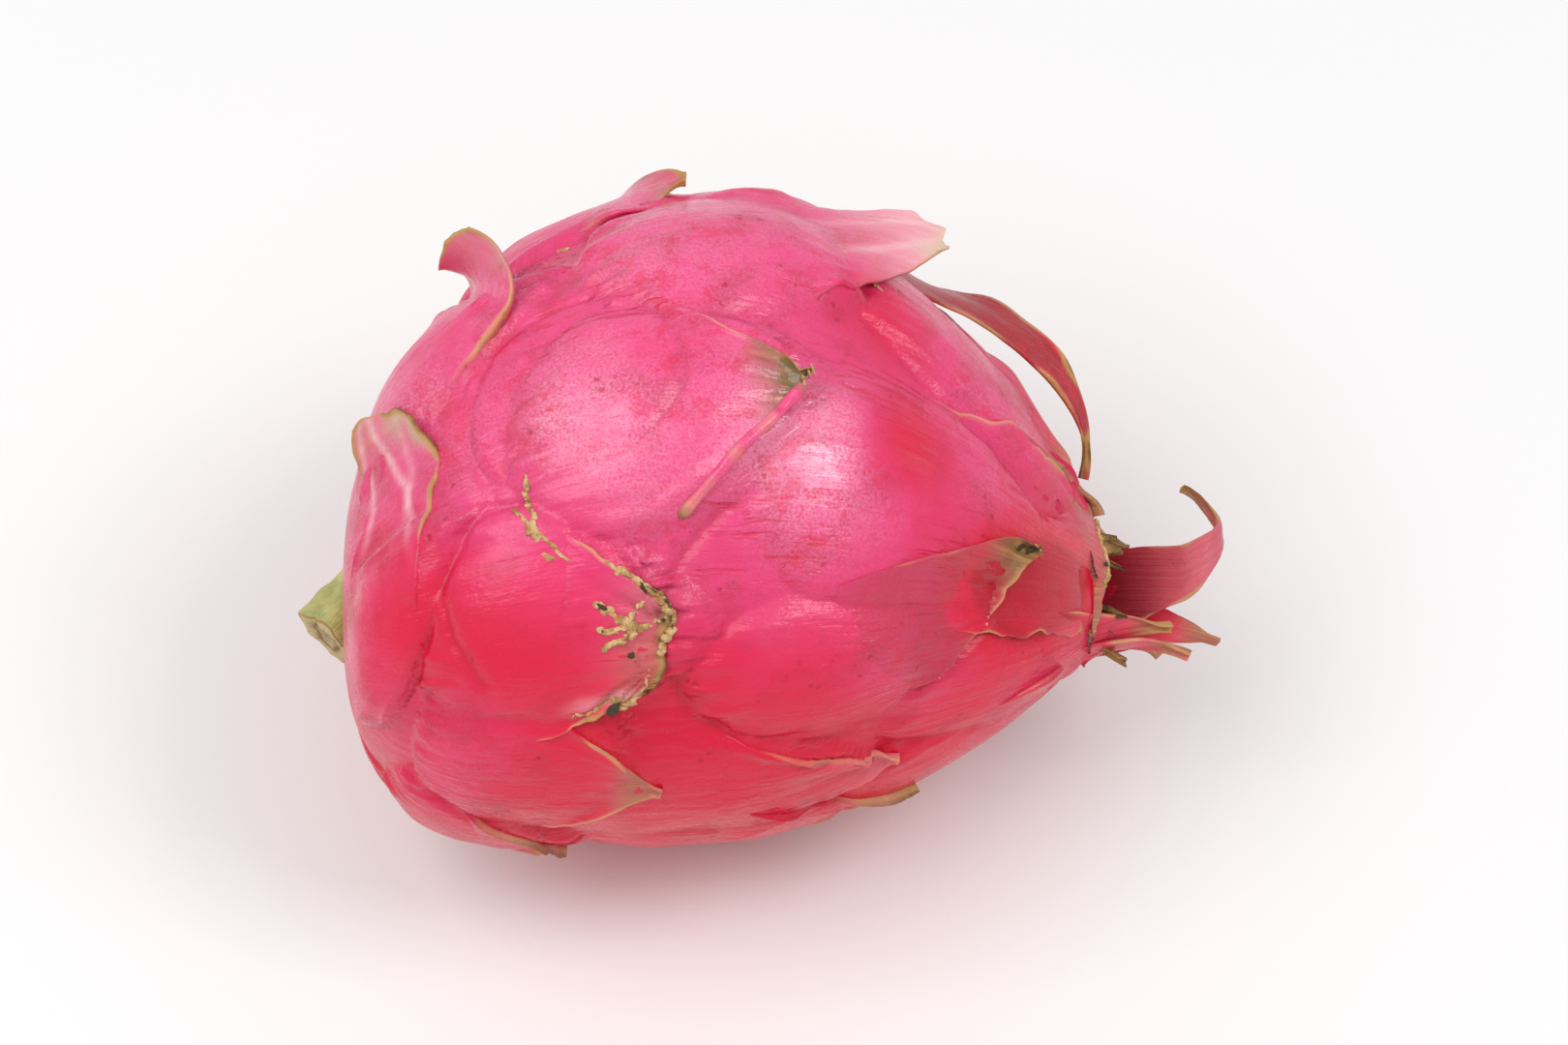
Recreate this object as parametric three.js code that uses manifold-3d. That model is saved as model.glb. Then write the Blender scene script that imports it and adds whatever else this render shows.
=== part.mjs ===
// Red dragon fruit lying on its side: one fleshy body whose leathery scales grow out of the skin,
// the cut stub of its stalk at one end and the withered flower in the crater at the other.
// Millimetres, +Z up. The stalk is at -X and the flower end at +X. Z = 0 is the surface it lies on.

import * as THREE from 'three';
import { mergeVertices } from 'three/addons/utils/BufferGeometryUtils.js';
import Module from 'manifold-3d';

const wasm = await Module();
wasm.setup();

const DEGREE = Math.PI / 180;

// ---- Driving dimensions -------------------------------------------------------------------------

// The body is a rounded barrel, fuller towards the stalk, with both ends bowed a little to the front.
const HALF_LENGTH = 56;
const GIRTH_RADIUS = 45.5;
const STALK_FULLNESS = 0.6;
const FLOWER_FULLNESS = 1.8;
const FULLNESS_CHANGES = 0.4;
const FLOWER_TAPER = 0.11;
const END_TAPER = 0.07;
const BOW_FRONT = 11.4;
const BOW_DOWN = 3.6;
const FLOWER_RISE = -2.5;
const FLOWER_BACK = 3.3;
const FLOWER_BOW = 4;
const CENTRE = new THREE.Vector3(4.5, 1.5, 46.0);

// The crater of the flower end, measured from the smooth body's pole.
const RIM_ANGLE = 150 * DEGREE;
const CRATER_RIM_WIDTH = 2.6;
const CRATER_RIM_HEIGHT = 1.6;
const CRATER_DEPTH = 11;
const CRATER_FLOOR_RADIUS = 6;
const CRATER_LOBES = 7;
const CRATER_LOBE_DEPTH = 0.9;

// The dimple round the stalk, and the plain hole that the stalk stands in.
const DIMPLE_RADIUS = 11;
const DIMPLE_DEPTH = 2.6;
const STALK_RADIUS = 5.2;
const STALK_LENGTH = 8.8;
const STALK_SUNK = 4;
const STALK_RIBS = 3;
const STALK_RIB_HEIGHT = 0.6;
const STALK_DRAWN_IN = 0.3;
const STALK_DRAWN_OVER = 3;
const SEAT_GAP = 0.35;

// The withered flower: a fluted tuft that flares out of the crater and is broken off ragged.
const REMAINS_FLUTES = 9;
const REMAINS_FLUTE_DEPTH = 0.8;
const REMAINS_HEIGHT = 12;
const REMAINS_CORE = 4;
const REMAINS_RAGGED = 1.2;
const REMAINS_TEETH = 4;
const REMAINS_PROFILE = [
  [0, 0],
  [0, 4.4],
  [4, 5.4],
  [8, 6.1],
  [12, 6.6],
  [12.6, 5.6],
  [10, 4],
  [8, 0],
];

// Scales follow one spiral from the stalk to the flower end, and they get longer along it. A plain
// scale's half width follows the body's radius where it grows.
const SCALE_COUNT = 35;
const FIRST_STATION = -0.9515;
const STATION_STEP = 0.0555;
const FIRST_TURN = -79;
const TURN_STEP = -131;
const SCALE_SEED = 7;
const PLAIN_LENGTH = { first: 16, gain: 12, flowerGain: 10 };
const PLAIN_WIDTH = { least: 2, perRadius: 0.34 };

// Each scale sits on its own low cushion of skin, a little wider than its blade.
const CUSHION_HEIGHT = 3.2;
const CUSHION_MARGIN = 2;
const CUSHION_NARROWING = 0.4;
const CUSHION_BACK = 19;
const CUSHION_FRONT = 27;
const MEAN_CUSHION = 1.8;
const MERIDIAN_RADIUS = 51;

// Underneath, the skin is pressed level round the spot below the weight, where the fruit lies. The
// level spot has three corners, so that it stands on all of them at once.
const SPOT_X = -2.7;
const SPOT_Y = -1.5;
const SPOT_SUNK = 0.6;
const SPOT_RADIUS = 17;
const SPOT_FADE = 12;
const SPOT_CORNER = 19;
const SPOT_CORNERS = 3;
const SPOT_BEVEL = 3 * DEGREE;

// A scale's blade: proud of the skin where it is pressed down, thin where it is free.
const PRESSED_PROUD = 1.0;
const PRESSED_SUNK = 0.9;
const ROOT_SUNK = 1.8;
const ROOT_LENGTH = 7;
const FREE_HALF_THICKNESS = 0.45;
const LEAVES_SKIN_OVER = 4;
const LEAST_HALF_WIDTH = 0.6;

// Faces along and around the body, and along and across a blade, and the finest detail that is kept.
const FINEST = 0.03;
const BODY_FACES = { along: 40, around: 52 };
const BLADE_FACES = { along: 7, across: 4, onLength: 34 };

// ---- The body's surface -------------------------------------------------------------------------

const clamp = THREE.MathUtils.clamp;
const smooth = THREE.MathUtils.smoothstep;
const lerp = THREE.MathUtils.lerp;

// Polar angle 0 is the stalk's pole and PI the flower's. Station is -1 to 1 along the axis.
const stationOf = (polar) => -Math.cos(polar);
const polarOf = (station) => Math.acos(-clamp(station, -1, 1));

function smoothRadius(polar) {
  const station = stationOf(polar);
  const towardsFlower = smooth(station, -FULLNESS_CHANGES, FULLNESS_CHANGES);
  const fullness = lerp(STALK_FULLNESS, FLOWER_FULLNESS, towardsFlower);
  const taper = 1 - FLOWER_TAPER * station - END_TAPER * station * station;
  return GIRTH_RADIUS * Math.pow(Math.max(Math.sin(polar), 0), fullness) * taper;
}

// A point at a place along the axis and a radius, on the bowed centre line.
function onCentreLine(along, radius, turn) {
  const station = along / HALF_LENGTH;
  const bow = BOW_FRONT * station * station + FLOWER_BOW * Math.max(station, 0) ** 2;
  return new THREE.Vector3(
    along,
    FLOWER_BACK * station - bow - radius * Math.sin(turn),
    FLOWER_RISE * station - BOW_DOWN * station * station + radius * Math.cos(turn),
  ).add(CENTRE);
}

function smoothPoint(polar, turn, lift = 0) {
  return onCentreLine(HALF_LENGTH * stationOf(polar), smoothRadius(polar) + lift, turn);
}

function smoothNormal(polar, turn) {
  const step = 0.01;
  const along = smoothPoint(polar + step, turn).sub(smoothPoint(polar - step, turn));
  const around = smoothPoint(polar, turn + step).sub(smoothPoint(polar, turn - step));
  return around.cross(along).normalize();
}

const wrapTurn = (angle) => Math.atan2(Math.sin(angle), Math.cos(angle));

// ---- The scales ---------------------------------------------------------------------------------

// Scales that differ from the plain rule. ahead and turn are nudges of the scale's place, in millimetres
// towards the flower and in degrees towards the front. sweep turns the blade sideways, lift tips it
// off the skin where it comes free, curl bends it outwards over its free length and hook bends its
// tip, twist rolls it about its midline, torn is the share of the tip that is missing, full is how
// long the sides stay apart, waist how far they draw in, slant how askew the end is, and aside how far
// the tip strays sideways.
const HABITS = {
  2: { ahead: -3, turn: 30, sweep: -79, length: 57.5, width: 10.7, full: 1.7, free: 0.36, lift: 18,
    curl: -26, torn: 0.42, slant: -0.06 },
  5: { ahead: -8, turn: -6, sweep: -14, length: 30.5, width: 11.5, full: 2.2, free: 0.42, lift: 70,
    curl: 135, twist: 72, torn: 0.2 },
  8: { ahead: 3, turn: -7, length: 18.3, width: 10.5, full: 3, free: 0.3, lift: 8, curl: -28, twist: 26 },
  10: { ahead: -7.5, turn: 2, sweep: 10, length: 36.5, width: 17, full: 1.05, free: 0.9, curl: 10,
    torn: 0.45 },
  11: { length: 24, free: 0.9, lift: 0, curl: 0 },
  13: { turn: -3, sweep: -10, length: 22.5, width: 17.2, full: 1.25, free: 0.72, lift: 10, curl: 70,
    twist: 25 },
  16: { turn: -9, sweep: -22, length: 41.5, width: 18, free: 0.35, lift: 22, curl: -6, twist: 20,
    torn: 0.22, slant: 0.05 },
  18: { ahead: -12, turn: 12, length: 30, free: 0.85 },
  19: { turn: -6, sweep: 3, length: 60, width: 13, free: 0.23, lift: 22, curl: -88, twist: 58,
    waist: 0.33 },
  21: { turn: 15, sweep: -26, length: 34, width: 10.5, full: 1.8, free: 0.84, lift: 4, curl: 40 },
  22: { length: 30, free: 0.85, lift: 0, curl: 0 },
  24: { turn: 13, sweep: -4, length: 75, width: 18, free: 0.4, lift: 0, curl: -10, torn: 0.5 },
  25: { length: 30, free: 0.7, lift: 8, curl: 20 },
  26: { length: 42, width: 13, free: 0.5, lift: 14, curl: 50 },
  27: { turn: -12, length: 20, width: 12, free: 0.9, lift: 0, curl: 0 },
  28: { turn: -33, sweep: 14, length: 53.5, width: 7.5, full: 3, free: 0.28, lift: 4, curl: 20,
    hook: 230, aside: 14 },
  29: { length: 30, width: 11, free: 0.5, lift: 12, curl: 20 },
  30: { length: 16, width: 9, free: 0.6, lift: 10, curl: -30 },
  31: { length: 34, width: 11, free: 0.36, lift: 24, curl: 60 },
  32: { length: 20, width: 11, free: 0.6, lift: 0, curl: -20, torn: 0.3 },
  33: { length: 15, width: 9, free: 0.5, lift: 10, curl: 0 },
  34: { length: 22, width: 9, free: 0.4, lift: 20, curl: 70 },
};

// A small seeded generator, so that every build draws the same scales.
function seededDraw(seed) {
  let state = seed;
  return (low, high) => {
    state = (state * 16807) % 2147483647;
    return low + (high - low) * (state / 2147483647);
  };
}

function plainLength(station) {
  const { first, gain, flowerGain } = PLAIN_LENGTH;
  return first + gain * (station + 1) + flowerGain * Math.max(0, station) ** 2;
}

function growScales() {
  const draw = seededDraw(SCALE_SEED);
  const scales = [];
  for (let index = 0; index < SCALE_COUNT; index++) {
    const habit = HABITS[index] ?? {};
    const station = FIRST_STATION + STATION_STEP * index + (habit.ahead ?? 0) / HALF_LENGTH;
    const turn = (FIRST_TURN + TURN_STEP * index + (habit.turn ?? 0)) * DEGREE;
    const radius = smoothRadius(polarOf(station));
    const underneath = Math.cos(turn) < -0.35 && station < 0.5;
    scales.push({
      index,
      polar: polarOf(station),
      turn,
      width: habit.width ?? (PLAIN_WIDTH.least + PLAIN_WIDTH.perRadius * radius) * draw(0.92, 1.05),
      length: habit.length ?? plainLength(station) * draw(0.9, 1.1),
      sweep: (habit.sweep ?? draw(-10, 10)) * DEGREE,
      free: habit.free ?? (underneath ? 0.95 : draw(0.6, 0.8)),
      lift: (habit.lift ?? (underneath ? 0 : draw(0, 12))) * DEGREE,
      curl: (habit.curl ?? (underneath ? 0 : draw(0, 45))) * DEGREE,
      hook: (habit.hook ?? 0) * DEGREE,
      twist: (habit.twist ?? 0) * DEGREE,
      torn: habit.torn ?? 0,
      waist: habit.waist ?? 0,
      full: habit.full ?? 1.2,
      slant: habit.slant ?? 0,
      aside: habit.aside ?? 0,
    });
  }
  return scales;
}

const scales = growScales();

// The cushion of one scale: a drop-shaped swelling, long towards its tip.
function cushion(scale, polar, turn) {
  const radius = Math.max(smoothRadius(polar), 6);
  const up = (polar - scale.polar) * MERIDIAN_RADIUS;
  const side = wrapTurn(turn - scale.turn) * radius;
  const along = up * Math.cos(scale.sweep * 0.5) + side * Math.sin(scale.sweep * 0.5);
  const across = side * Math.cos(scale.sweep * 0.5) - up * Math.sin(scale.sweep * 0.5);
  const reach = along > 0 ? CUSHION_FRONT : CUSHION_BACK;
  const narrowed = 1 - CUSHION_NARROWING * clamp(along / CUSHION_FRONT, 0, 1);
  const halfWidth = (scale.width + CUSHION_MARGIN) * narrowed;
  const distance = (along / reach) ** 2 + (across / halfWidth) ** 2;
  return distance < 1 ? CUSHION_HEIGHT * Math.pow(1 - distance, 0.8) : 0;
}

function relief(polar, turn) {
  let sum = 0;
  for (const scale of scales) sum += cushion(scale, polar, turn) ** 4;
  const fade = smooth(Math.sin(polar), 0.12, 0.45);
  return (Math.pow(sum, 0.25) - MEAN_CUSHION) * fade;
}

function skinPoint(polar, turn, lift = 0) {
  const point = smoothPoint(polar, turn);
  const above = Math.cos(turn) > 0 ? SPOT_RADIUS + SPOT_FADE : 0;
  const fromSpot = Math.hypot(point.x - SPOT_X, point.y - SPOT_Y) + above;
  const free = smooth(fromSpot, SPOT_RADIUS, SPOT_RADIUS + SPOT_FADE);
  const raised = lerp(point.z + SPOT_SUNK, relief(polar, turn), free);
  return point.addScaledVector(smoothNormal(polar, turn), raised + lift);
}

// ---- Solids -------------------------------------------------------------------------------------

// A closed three.js geometry becomes a solid once only its shared corners are left.
function toSolid(geometry) {
  geometry.deleteAttribute('normal');
  geometry.deleteAttribute('uv');
  const merged = mergeVertices(geometry, 1e-4);
  return new wasm.Manifold(new wasm.Mesh({
    numProp: 3,
    vertProperties: new Float32Array(merged.attributes.position.array),
    triVerts: new Uint32Array(merged.index.array),
  }));
}

// Only the largest piece is kept, so no loose scrap stays, and slivers under FINEST are smoothed away.
function toGeometry(solid) {
  const pieces = solid.simplify(FINEST).decompose();
  const largest = pieces.reduce((best, piece) => (piece.volume() > best.volume() ? piece : best));
  const mesh = largest.getMesh();
  const geometry = new THREE.BufferGeometry();
  geometry.setAttribute('position', new THREE.BufferAttribute(mesh.vertProperties, 3));
  geometry.setIndex(new THREE.BufferAttribute(mesh.triVerts, 1));
  geometry.computeVertexNormals();
  return geometry;
}

// Moves every corner of a geometry to where place(x, y, z) puts it.
function reshape(geometry, place) {
  const position = geometry.attributes.position;
  for (let i = 0; i < position.count; i++) {
    const point = place(position.getX(i), position.getY(i), position.getZ(i));
    position.setXYZ(i, point.x, point.y, point.z);
  }
  return geometry;
}

// ---- Body with its crater and dimple ------------------------------------------------------------

// The outside runs over this share of the faces, and the crater over the rest: its lip and its wall
// end at these shares of that, and its floor takes what is left.
const OUTSIDE_SHARE = 0.88;
const LIP_ENDS = 0.3;
const WALL_ENDS = 0.75;

function craterPoint(share, turn) {
  const rim = skinPoint(RIM_ANGLE, turn);
  const rimRadius = smoothRadius(RIM_ANGLE);
  const rimAlong = HALF_LENGTH * stationOf(RIM_ANGLE);
  const lobes = CRATER_LOBE_DEPTH * Math.cos(CRATER_LOBES * turn);
  const lip = onCentreLine(rimAlong + CRATER_RIM_HEIGHT, rimRadius - CRATER_RIM_WIDTH, turn);
  const wall = onCentreLine(rimAlong - CRATER_DEPTH, CRATER_FLOOR_RADIUS + lobes, turn);
  const floor = onCentreLine(rimAlong - CRATER_DEPTH, 0, turn);
  if (share < LIP_ENDS) return rim.lerp(lip, share / LIP_ENDS);
  if (share < WALL_ENDS) return lip.lerp(wall, (share - LIP_ENDS) / (WALL_ENDS - LIP_ENDS));
  return wall.lerp(floor, (share - WALL_ENDS) / (1 - WALL_ENDS));
}

function bodyPoint(share, turn) {
  if (share > OUTSIDE_SHARE) return craterPoint((share - OUTSIDE_SHARE) / (1 - OUTSIDE_SHARE), turn);
  const polar = RIM_ANGLE * (share / OUTSIDE_SHARE);
  const point = skinPoint(polar, turn);
  const radius = smoothRadius(polar);
  point.x += DIMPLE_DEPTH * (1 - smooth(radius, 0, DIMPLE_RADIUS));
  return point;
}

function makeBody() {
  const ball = new THREE.SphereGeometry(1, BODY_FACES.around, BODY_FACES.along);
  return toSolid(reshape(ball, (x, y, z) => {
    const share = Math.acos(clamp(y, -1, 1)) / Math.PI;
    return bodyPoint(share, Math.atan2(z, x));
  }));
}

// ---- Blades -------------------------------------------------------------------------------------

// Half the blade's width at a share of its length, from the broad root to the tip.
function halfWidth(scale, share) {
  const reached = share * (1 - scale.torn);
  const outline = Math.pow(1 - Math.pow(reached, scale.full), 1.15);
  const waist = 1 - scale.waist * smooth(reached, 0.15, 0.5);
  return Math.max(scale.width * outline * waist, LEAST_HALF_WIDTH);
}

// Where the blade's midline runs on the skin at a distance from its root.
const LEAST_TURN_RADIUS = 12;

function midline(scale, distance) {
  const polar = scale.polar + (distance * Math.cos(scale.sweep)) / MERIDIAN_RADIUS;
  const radius = Math.max(smoothRadius(Math.min(polar, RIM_ANGLE)), LEAST_TURN_RADIUS);
  return { polar, turn: scale.turn + (distance * Math.sin(scale.sweep)) / radius, radius };
}

// The free part is a strip that starts on the skin and bends as it goes.
function freeStrip(scale) {
  const start = midline(scale, scale.free * scale.length);
  const polar = Math.min(start.polar, RIM_ANGLE);
  const origin = skinPoint(polar, start.turn);
  const normal = smoothNormal(polar, start.turn);
  const behind = smoothPoint(polar - 0.01, start.turn);
  const meridian = smoothPoint(polar + 0.01, start.turn).sub(behind).normalize();
  const tangent = meridian.applyAxisAngle(normal, -scale.sweep).normalize();
  const side = tangent.clone().cross(normal).normalize();
  return { origin, normal, tangent, side, radius: start.radius };
}

// The heading's angle off the skin after a share of the free length. It lifts at once, curls all
// the way and hooks near the tip.
const LIFTED_AT = 0.25;
const HOOK_FROM = 0.62;

function heading(scale, share) {
  const lifted = scale.lift * smooth(share, 0, LIFTED_AT);
  return lifted + scale.curl * share * share + scale.hook * smooth(share, HOOK_FROM, 1);
}

// The strip is walked in short straight steps, and rolls about its midline as it goes.
const FREE_STEPS = 24;

function freePoint(scale, strip, distance, across, lift) {
  const freeLength = scale.length * (1 - scale.free);
  const stepLength = freeLength / FREE_STEPS;
  const point = strip.origin.clone();
  const count = Math.round(distance / stepLength);
  let angle = 0;
  for (let i = 0; i < count; i++) {
    angle = heading(scale, (i + 0.5) / FREE_STEPS);
    point.addScaledVector(strip.tangent, Math.cos(angle) * stepLength);
    point.addScaledVector(strip.normal, Math.sin(angle) * stepLength);
  }
  point.addScaledVector(strip.side, scale.aside * smooth(distance / freeLength, HOOK_FROM, 1));
  const up = strip.normal.clone().multiplyScalar(Math.cos(angle));
  up.addScaledVector(strip.tangent, -Math.sin(angle));
  const ahead = up.clone().cross(strip.side);
  const roll = scale.twist * smooth(distance / freeLength, 0, 0.8);
  const side = strip.side.clone().applyAxisAngle(ahead, roll);
  up.applyAxisAngle(ahead, roll);
  const bend = across / strip.radius;
  point.addScaledVector(side, Math.sin(bend) * strip.radius);
  return point.addScaledVector(up, (Math.cos(bend) - 1) * strip.radius + lift);
}

// Sideways on the skin is square to the midline, so a swept blade spreads partly along the body.
function besideMidline(scale, distance, side, lift) {
  const on = midline(scale, distance);
  const polar = on.polar - (side * Math.sin(scale.sweep)) / MERIDIAN_RADIUS;
  const turn = on.turn + (side * Math.cos(scale.sweep)) / on.radius;
  return skinPoint(clamp(polar, 0, RIM_ANGLE), turn, lift);
}

const SLANTS_FROM = 0.3;

function bladePoint(scale, strip, share, across, face) {
  const slanted = 1 + scale.slant * across * smooth(share, SLANTS_FROM, 1);
  const distance = share * scale.length * (1 - scale.torn) * slanted;
  const freeFrom = scale.free * scale.length;
  const side = across * halfWidth(scale, share);
  const pressed = 1 - smooth(distance, freeFrom - LEAVES_SKIN_OVER / 2, freeFrom + LEAVES_SKIN_OVER);
  const rooted = 1 - smooth(distance, 0, ROOT_LENGTH);
  const proud = lerp(FREE_HALF_THICKNESS, PRESSED_PROUD, pressed) - ROOT_SUNK * rooted;
  const sunk = lerp(FREE_HALF_THICKNESS, PRESSED_SUNK, pressed) + ROOT_SUNK * rooted;
  const lift = face > 0 ? proud : -sunk;
  const onSkin = besideMidline(scale, Math.min(distance, freeFrom + LEAVES_SKIN_OVER), side, lift);
  if (distance <= freeFrom) return onSkin;
  return onSkin.lerp(freePoint(scale, strip, distance - freeFrom, side, lift), 1 - pressed);
}

function makeBlade(scale) {
  const strip = freeStrip(scale);
  const along = Math.round(BLADE_FACES.along * clamp(scale.length / BLADE_FACES.onLength, 0.6, 1.6));
  const slab = new THREE.BoxGeometry(1, 1, 1, along, BLADE_FACES.across, 1);
  return toSolid(reshape(slab, (x, y, z) => bladePoint(scale, strip, x + 0.5, -2 * y, z)));
}

// ---- Fused fruit --------------------------------------------------------------------------------

function block(width, depth, height, x, y, z) {
  return toSolid(new THREE.BoxGeometry(width, depth, height).translate(x, y, z));
}

function rod(radius, from, to, faces = 20) {
  const along = to.clone().sub(from);
  const geometry = new THREE.CylinderGeometry(radius, radius, along.length(), faces);
  const upright = new THREE.Vector3(0, 1, 0);
  const turn = new THREE.Quaternion().setFromUnitVectors(upright, along.clone().normalize());
  const middle = from.clone().add(to).multiplyScalar(0.5);
  return toSolid(geometry.applyQuaternion(turn).translate(middle.x, middle.y, middle.z));
}

// A wedge whose top rises gently away from one side of the level spot.
function spotWedge(number) {
  const side = SPOT_CORNER * Math.cos(Math.PI / SPOT_CORNERS);
  const wedge = new THREE.BoxGeometry(200, 400, 100).translate(100, 0, -50).rotateY(-SPOT_BEVEL);
  const turn = (2 * Math.PI * number) / SPOT_CORNERS;
  return toSolid(wedge.translate(side, 0, 0).rotateZ(turn).translate(SPOT_X, SPOT_Y, 0));
}

// The stalk leaves the bottom of the dimple and leans to the front.
const stalkSeat = onCentreLine(-HALF_LENGTH + DIMPLE_DEPTH, 0, 0);
const stalkWay = new THREE.Vector3(-0.8, -0.9, -0.15).normalize();

function makeFruit() {
  let fruit = makeBody();
  for (const scale of scales) fruit = fruit.add(makeBlade(scale));
  const seatBottom = stalkSeat.clone().addScaledVector(stalkWay, -STALK_SUNK - SEAT_GAP);
  const seatTop = stalkSeat.clone().addScaledVector(stalkWay, 30);
  fruit = fruit.subtract(rod(STALK_RADIUS + SEAT_GAP, seatBottom, seatTop));
  fruit = fruit.subtract(block(400, 400, 100, 0, 0, -50));
  for (let number = 0; number < SPOT_CORNERS; number++) fruit = fruit.subtract(spotWedge(number));
  return toGeometry(fruit);
}

// ---- Stalk --------------------------------------------------------------------------------------

// Round where it stands in the fruit, and three-ribbed like the cactus stem beyond it.
function makeStalk() {
  const length = STALK_SUNK + STALK_LENGTH;
  const geometry = new THREE.CylinderGeometry(1, 1, length, 24, 8);
  const upright = new THREE.Vector3(0, 1, 0);
  const lean = new THREE.Quaternion().setFromUnitVectors(upright, stalkWay);
  const base = stalkSeat.clone().addScaledVector(stalkWay, -STALK_SUNK);
  reshape(geometry, (x, y, z) => {
    const along = y + length / 2;
    const beyond = smooth(along, STALK_SUNK, STALK_SUNK + STALK_DRAWN_OVER);
    const ribs = STALK_RIB_HEIGHT * beyond * Math.cos(STALK_RIBS * Math.atan2(z, x));
    const radius = STALK_RADIUS - STALK_DRAWN_IN * beyond + ribs;
    return new THREE.Vector3(x * radius, along, z * radius).applyQuaternion(lean).add(base);
  });
  return toGeometry(toSolid(geometry));
}

// ---- Flower remains -----------------------------------------------------------------------------

// The profile is read off at a share of its points, measured from the crater's floor.
function remainsProfile(share) {
  const place = share * (REMAINS_PROFILE.length - 1);
  const step = Math.min(Math.floor(place), REMAINS_PROFILE.length - 2);
  const [fromAlong, fromRadius] = REMAINS_PROFILE[step];
  const [toAlong, toRadius] = REMAINS_PROFILE[step + 1];
  return [lerp(fromAlong, toAlong, place - step), lerp(fromRadius, toRadius, place - step)];
}

// Flutes and ragged teeth grow with the height and fade out inside the core.
function makeRemains() {
  const floor = HALF_LENGTH * stationOf(RIM_ANGLE) - CRATER_DEPTH + SEAT_GAP;
  const rings = 2 * (REMAINS_PROFILE.length - 1);
  const ball = new THREE.SphereGeometry(1, 6 * REMAINS_FLUTES, rings);
  reshape(ball, (x, y, z) => {
    const [along, radius] = remainsProfile(Math.acos(clamp(y, -1, 1)) / Math.PI);
    const turn = Math.atan2(z, x);
    const height = along / REMAINS_HEIGHT;
    const strength = height * Math.min(radius / REMAINS_CORE, 1);
    const flutes = REMAINS_FLUTE_DEPTH * strength * Math.cos(REMAINS_FLUTES * turn + 2 * height);
    const ragged = REMAINS_RAGGED * strength * Math.cos(REMAINS_TEETH * turn + 1);
    return onCentreLine(floor + along + ragged, radius + flutes, turn);
  });
  return toGeometry(toSolid(ball));
}

// ---- Assembly -----------------------------------------------------------------------------------

function named(name, geometry, color, roughness) {
  const mesh = new THREE.Mesh(geometry, new THREE.MeshStandardMaterial({ color, roughness, metalness: 0 }));
  mesh.name = name;
  return mesh;
}

const dragonFruit = new THREE.Group();
dragonFruit.add(named('fruit', makeFruit(), 0xd8275f, 0.45));
dragonFruit.add(named('stalk', makeStalk(), 0x8fa04e, 0.6));
dragonFruit.add(named('flower_remains', makeRemains(), 0x6b4a2e, 0.9));

export default dragonFruit;
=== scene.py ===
import math

import bmesh
import bpy
import mathutils.noise
import numpy as np
from mathutils import Matrix, Vector


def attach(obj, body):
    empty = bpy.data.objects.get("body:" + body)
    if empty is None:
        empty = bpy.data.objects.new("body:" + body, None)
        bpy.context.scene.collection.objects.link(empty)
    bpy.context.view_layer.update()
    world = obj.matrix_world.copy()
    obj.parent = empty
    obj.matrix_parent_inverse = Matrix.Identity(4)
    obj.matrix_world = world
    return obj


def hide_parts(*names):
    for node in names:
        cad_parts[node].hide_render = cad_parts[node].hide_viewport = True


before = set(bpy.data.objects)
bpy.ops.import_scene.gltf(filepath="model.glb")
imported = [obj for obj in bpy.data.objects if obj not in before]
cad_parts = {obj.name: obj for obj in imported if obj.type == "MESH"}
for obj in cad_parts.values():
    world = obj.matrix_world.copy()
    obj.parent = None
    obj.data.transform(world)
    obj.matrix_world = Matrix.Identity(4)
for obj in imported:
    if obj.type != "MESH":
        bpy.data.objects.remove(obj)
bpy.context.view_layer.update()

# ---- Skin ----------------------------------------------------------------------------------------
# The fruit's skin is a leathery red rind over soft flesh, grown in one piece. It swells into a low
# cushion under each scale, puckers between them, and folds in to a crater where the flower stood.

# The body is a barrel, thicker at the stalk, round a centre line that bows back and down at both
# ends. It is flattened a little where it rests. A place on it is a polar angle, from the stalk to the
# flower, and a turn, from the top towards the front.
HALF_LENGTH = 0.056
GIRTH_RADIUS = 0.0455
STALK_FULLNESS = 0.6
FLOWER_FULLNESS = 1.8
FLOWER_TAPER = 0.11
END_TAPER = 0.07
BOW_FRONT = 0.0114
BOW_DOWN = 0.0036
FLOWER_RISE = -0.0025
FLOWER_BACK = 0.0033
FLOWER_BOW = 0.004
CENTRE = np.array([0.0045, 0.0015, 0.046])
RIM_ANGLE = math.radians(150)
CRATER_RIM_WIDTH = 0.0026
CRATER_LIP = 0.0016
CRATER_DEPTH = 0.011
CRATER_FLOOR_RADIUS = 0.006
DIMPLE_RADIUS = 0.011
DIMPLE_DEPTH = 0.0026
MERIDIAN_RADIUS = 0.051
LEAST_RADIUS = 0.006
REST_PLACE = (-0.0027, -0.0015)
REST_SUNK = 0.0006
REST_RADIUS = 0.017
REST_FADE = 0.012


def smoothstep(value, low, high):
    share = np.clip((value - low) / (high - low), 0, 1)
    return share * share * (3 - 2 * share)


def polar_of(station):
    """The polar angle at a share of the half length, from -1 at the stalk to 1 at the flower."""
    return np.arccos(-np.clip(station, -1, 1))


def smooth_radius(polar):
    """The barrel's radius, before cushions and wrinkles."""
    station = -np.cos(polar)
    fullness = STALK_FULLNESS + (FLOWER_FULLNESS - STALK_FULLNESS) * smoothstep(station, -0.4, 0.4)
    taper = 1 - FLOWER_TAPER * station - END_TAPER * station * station
    return GIRTH_RADIUS * np.maximum(np.sin(polar), 0) ** fullness * taper


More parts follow.
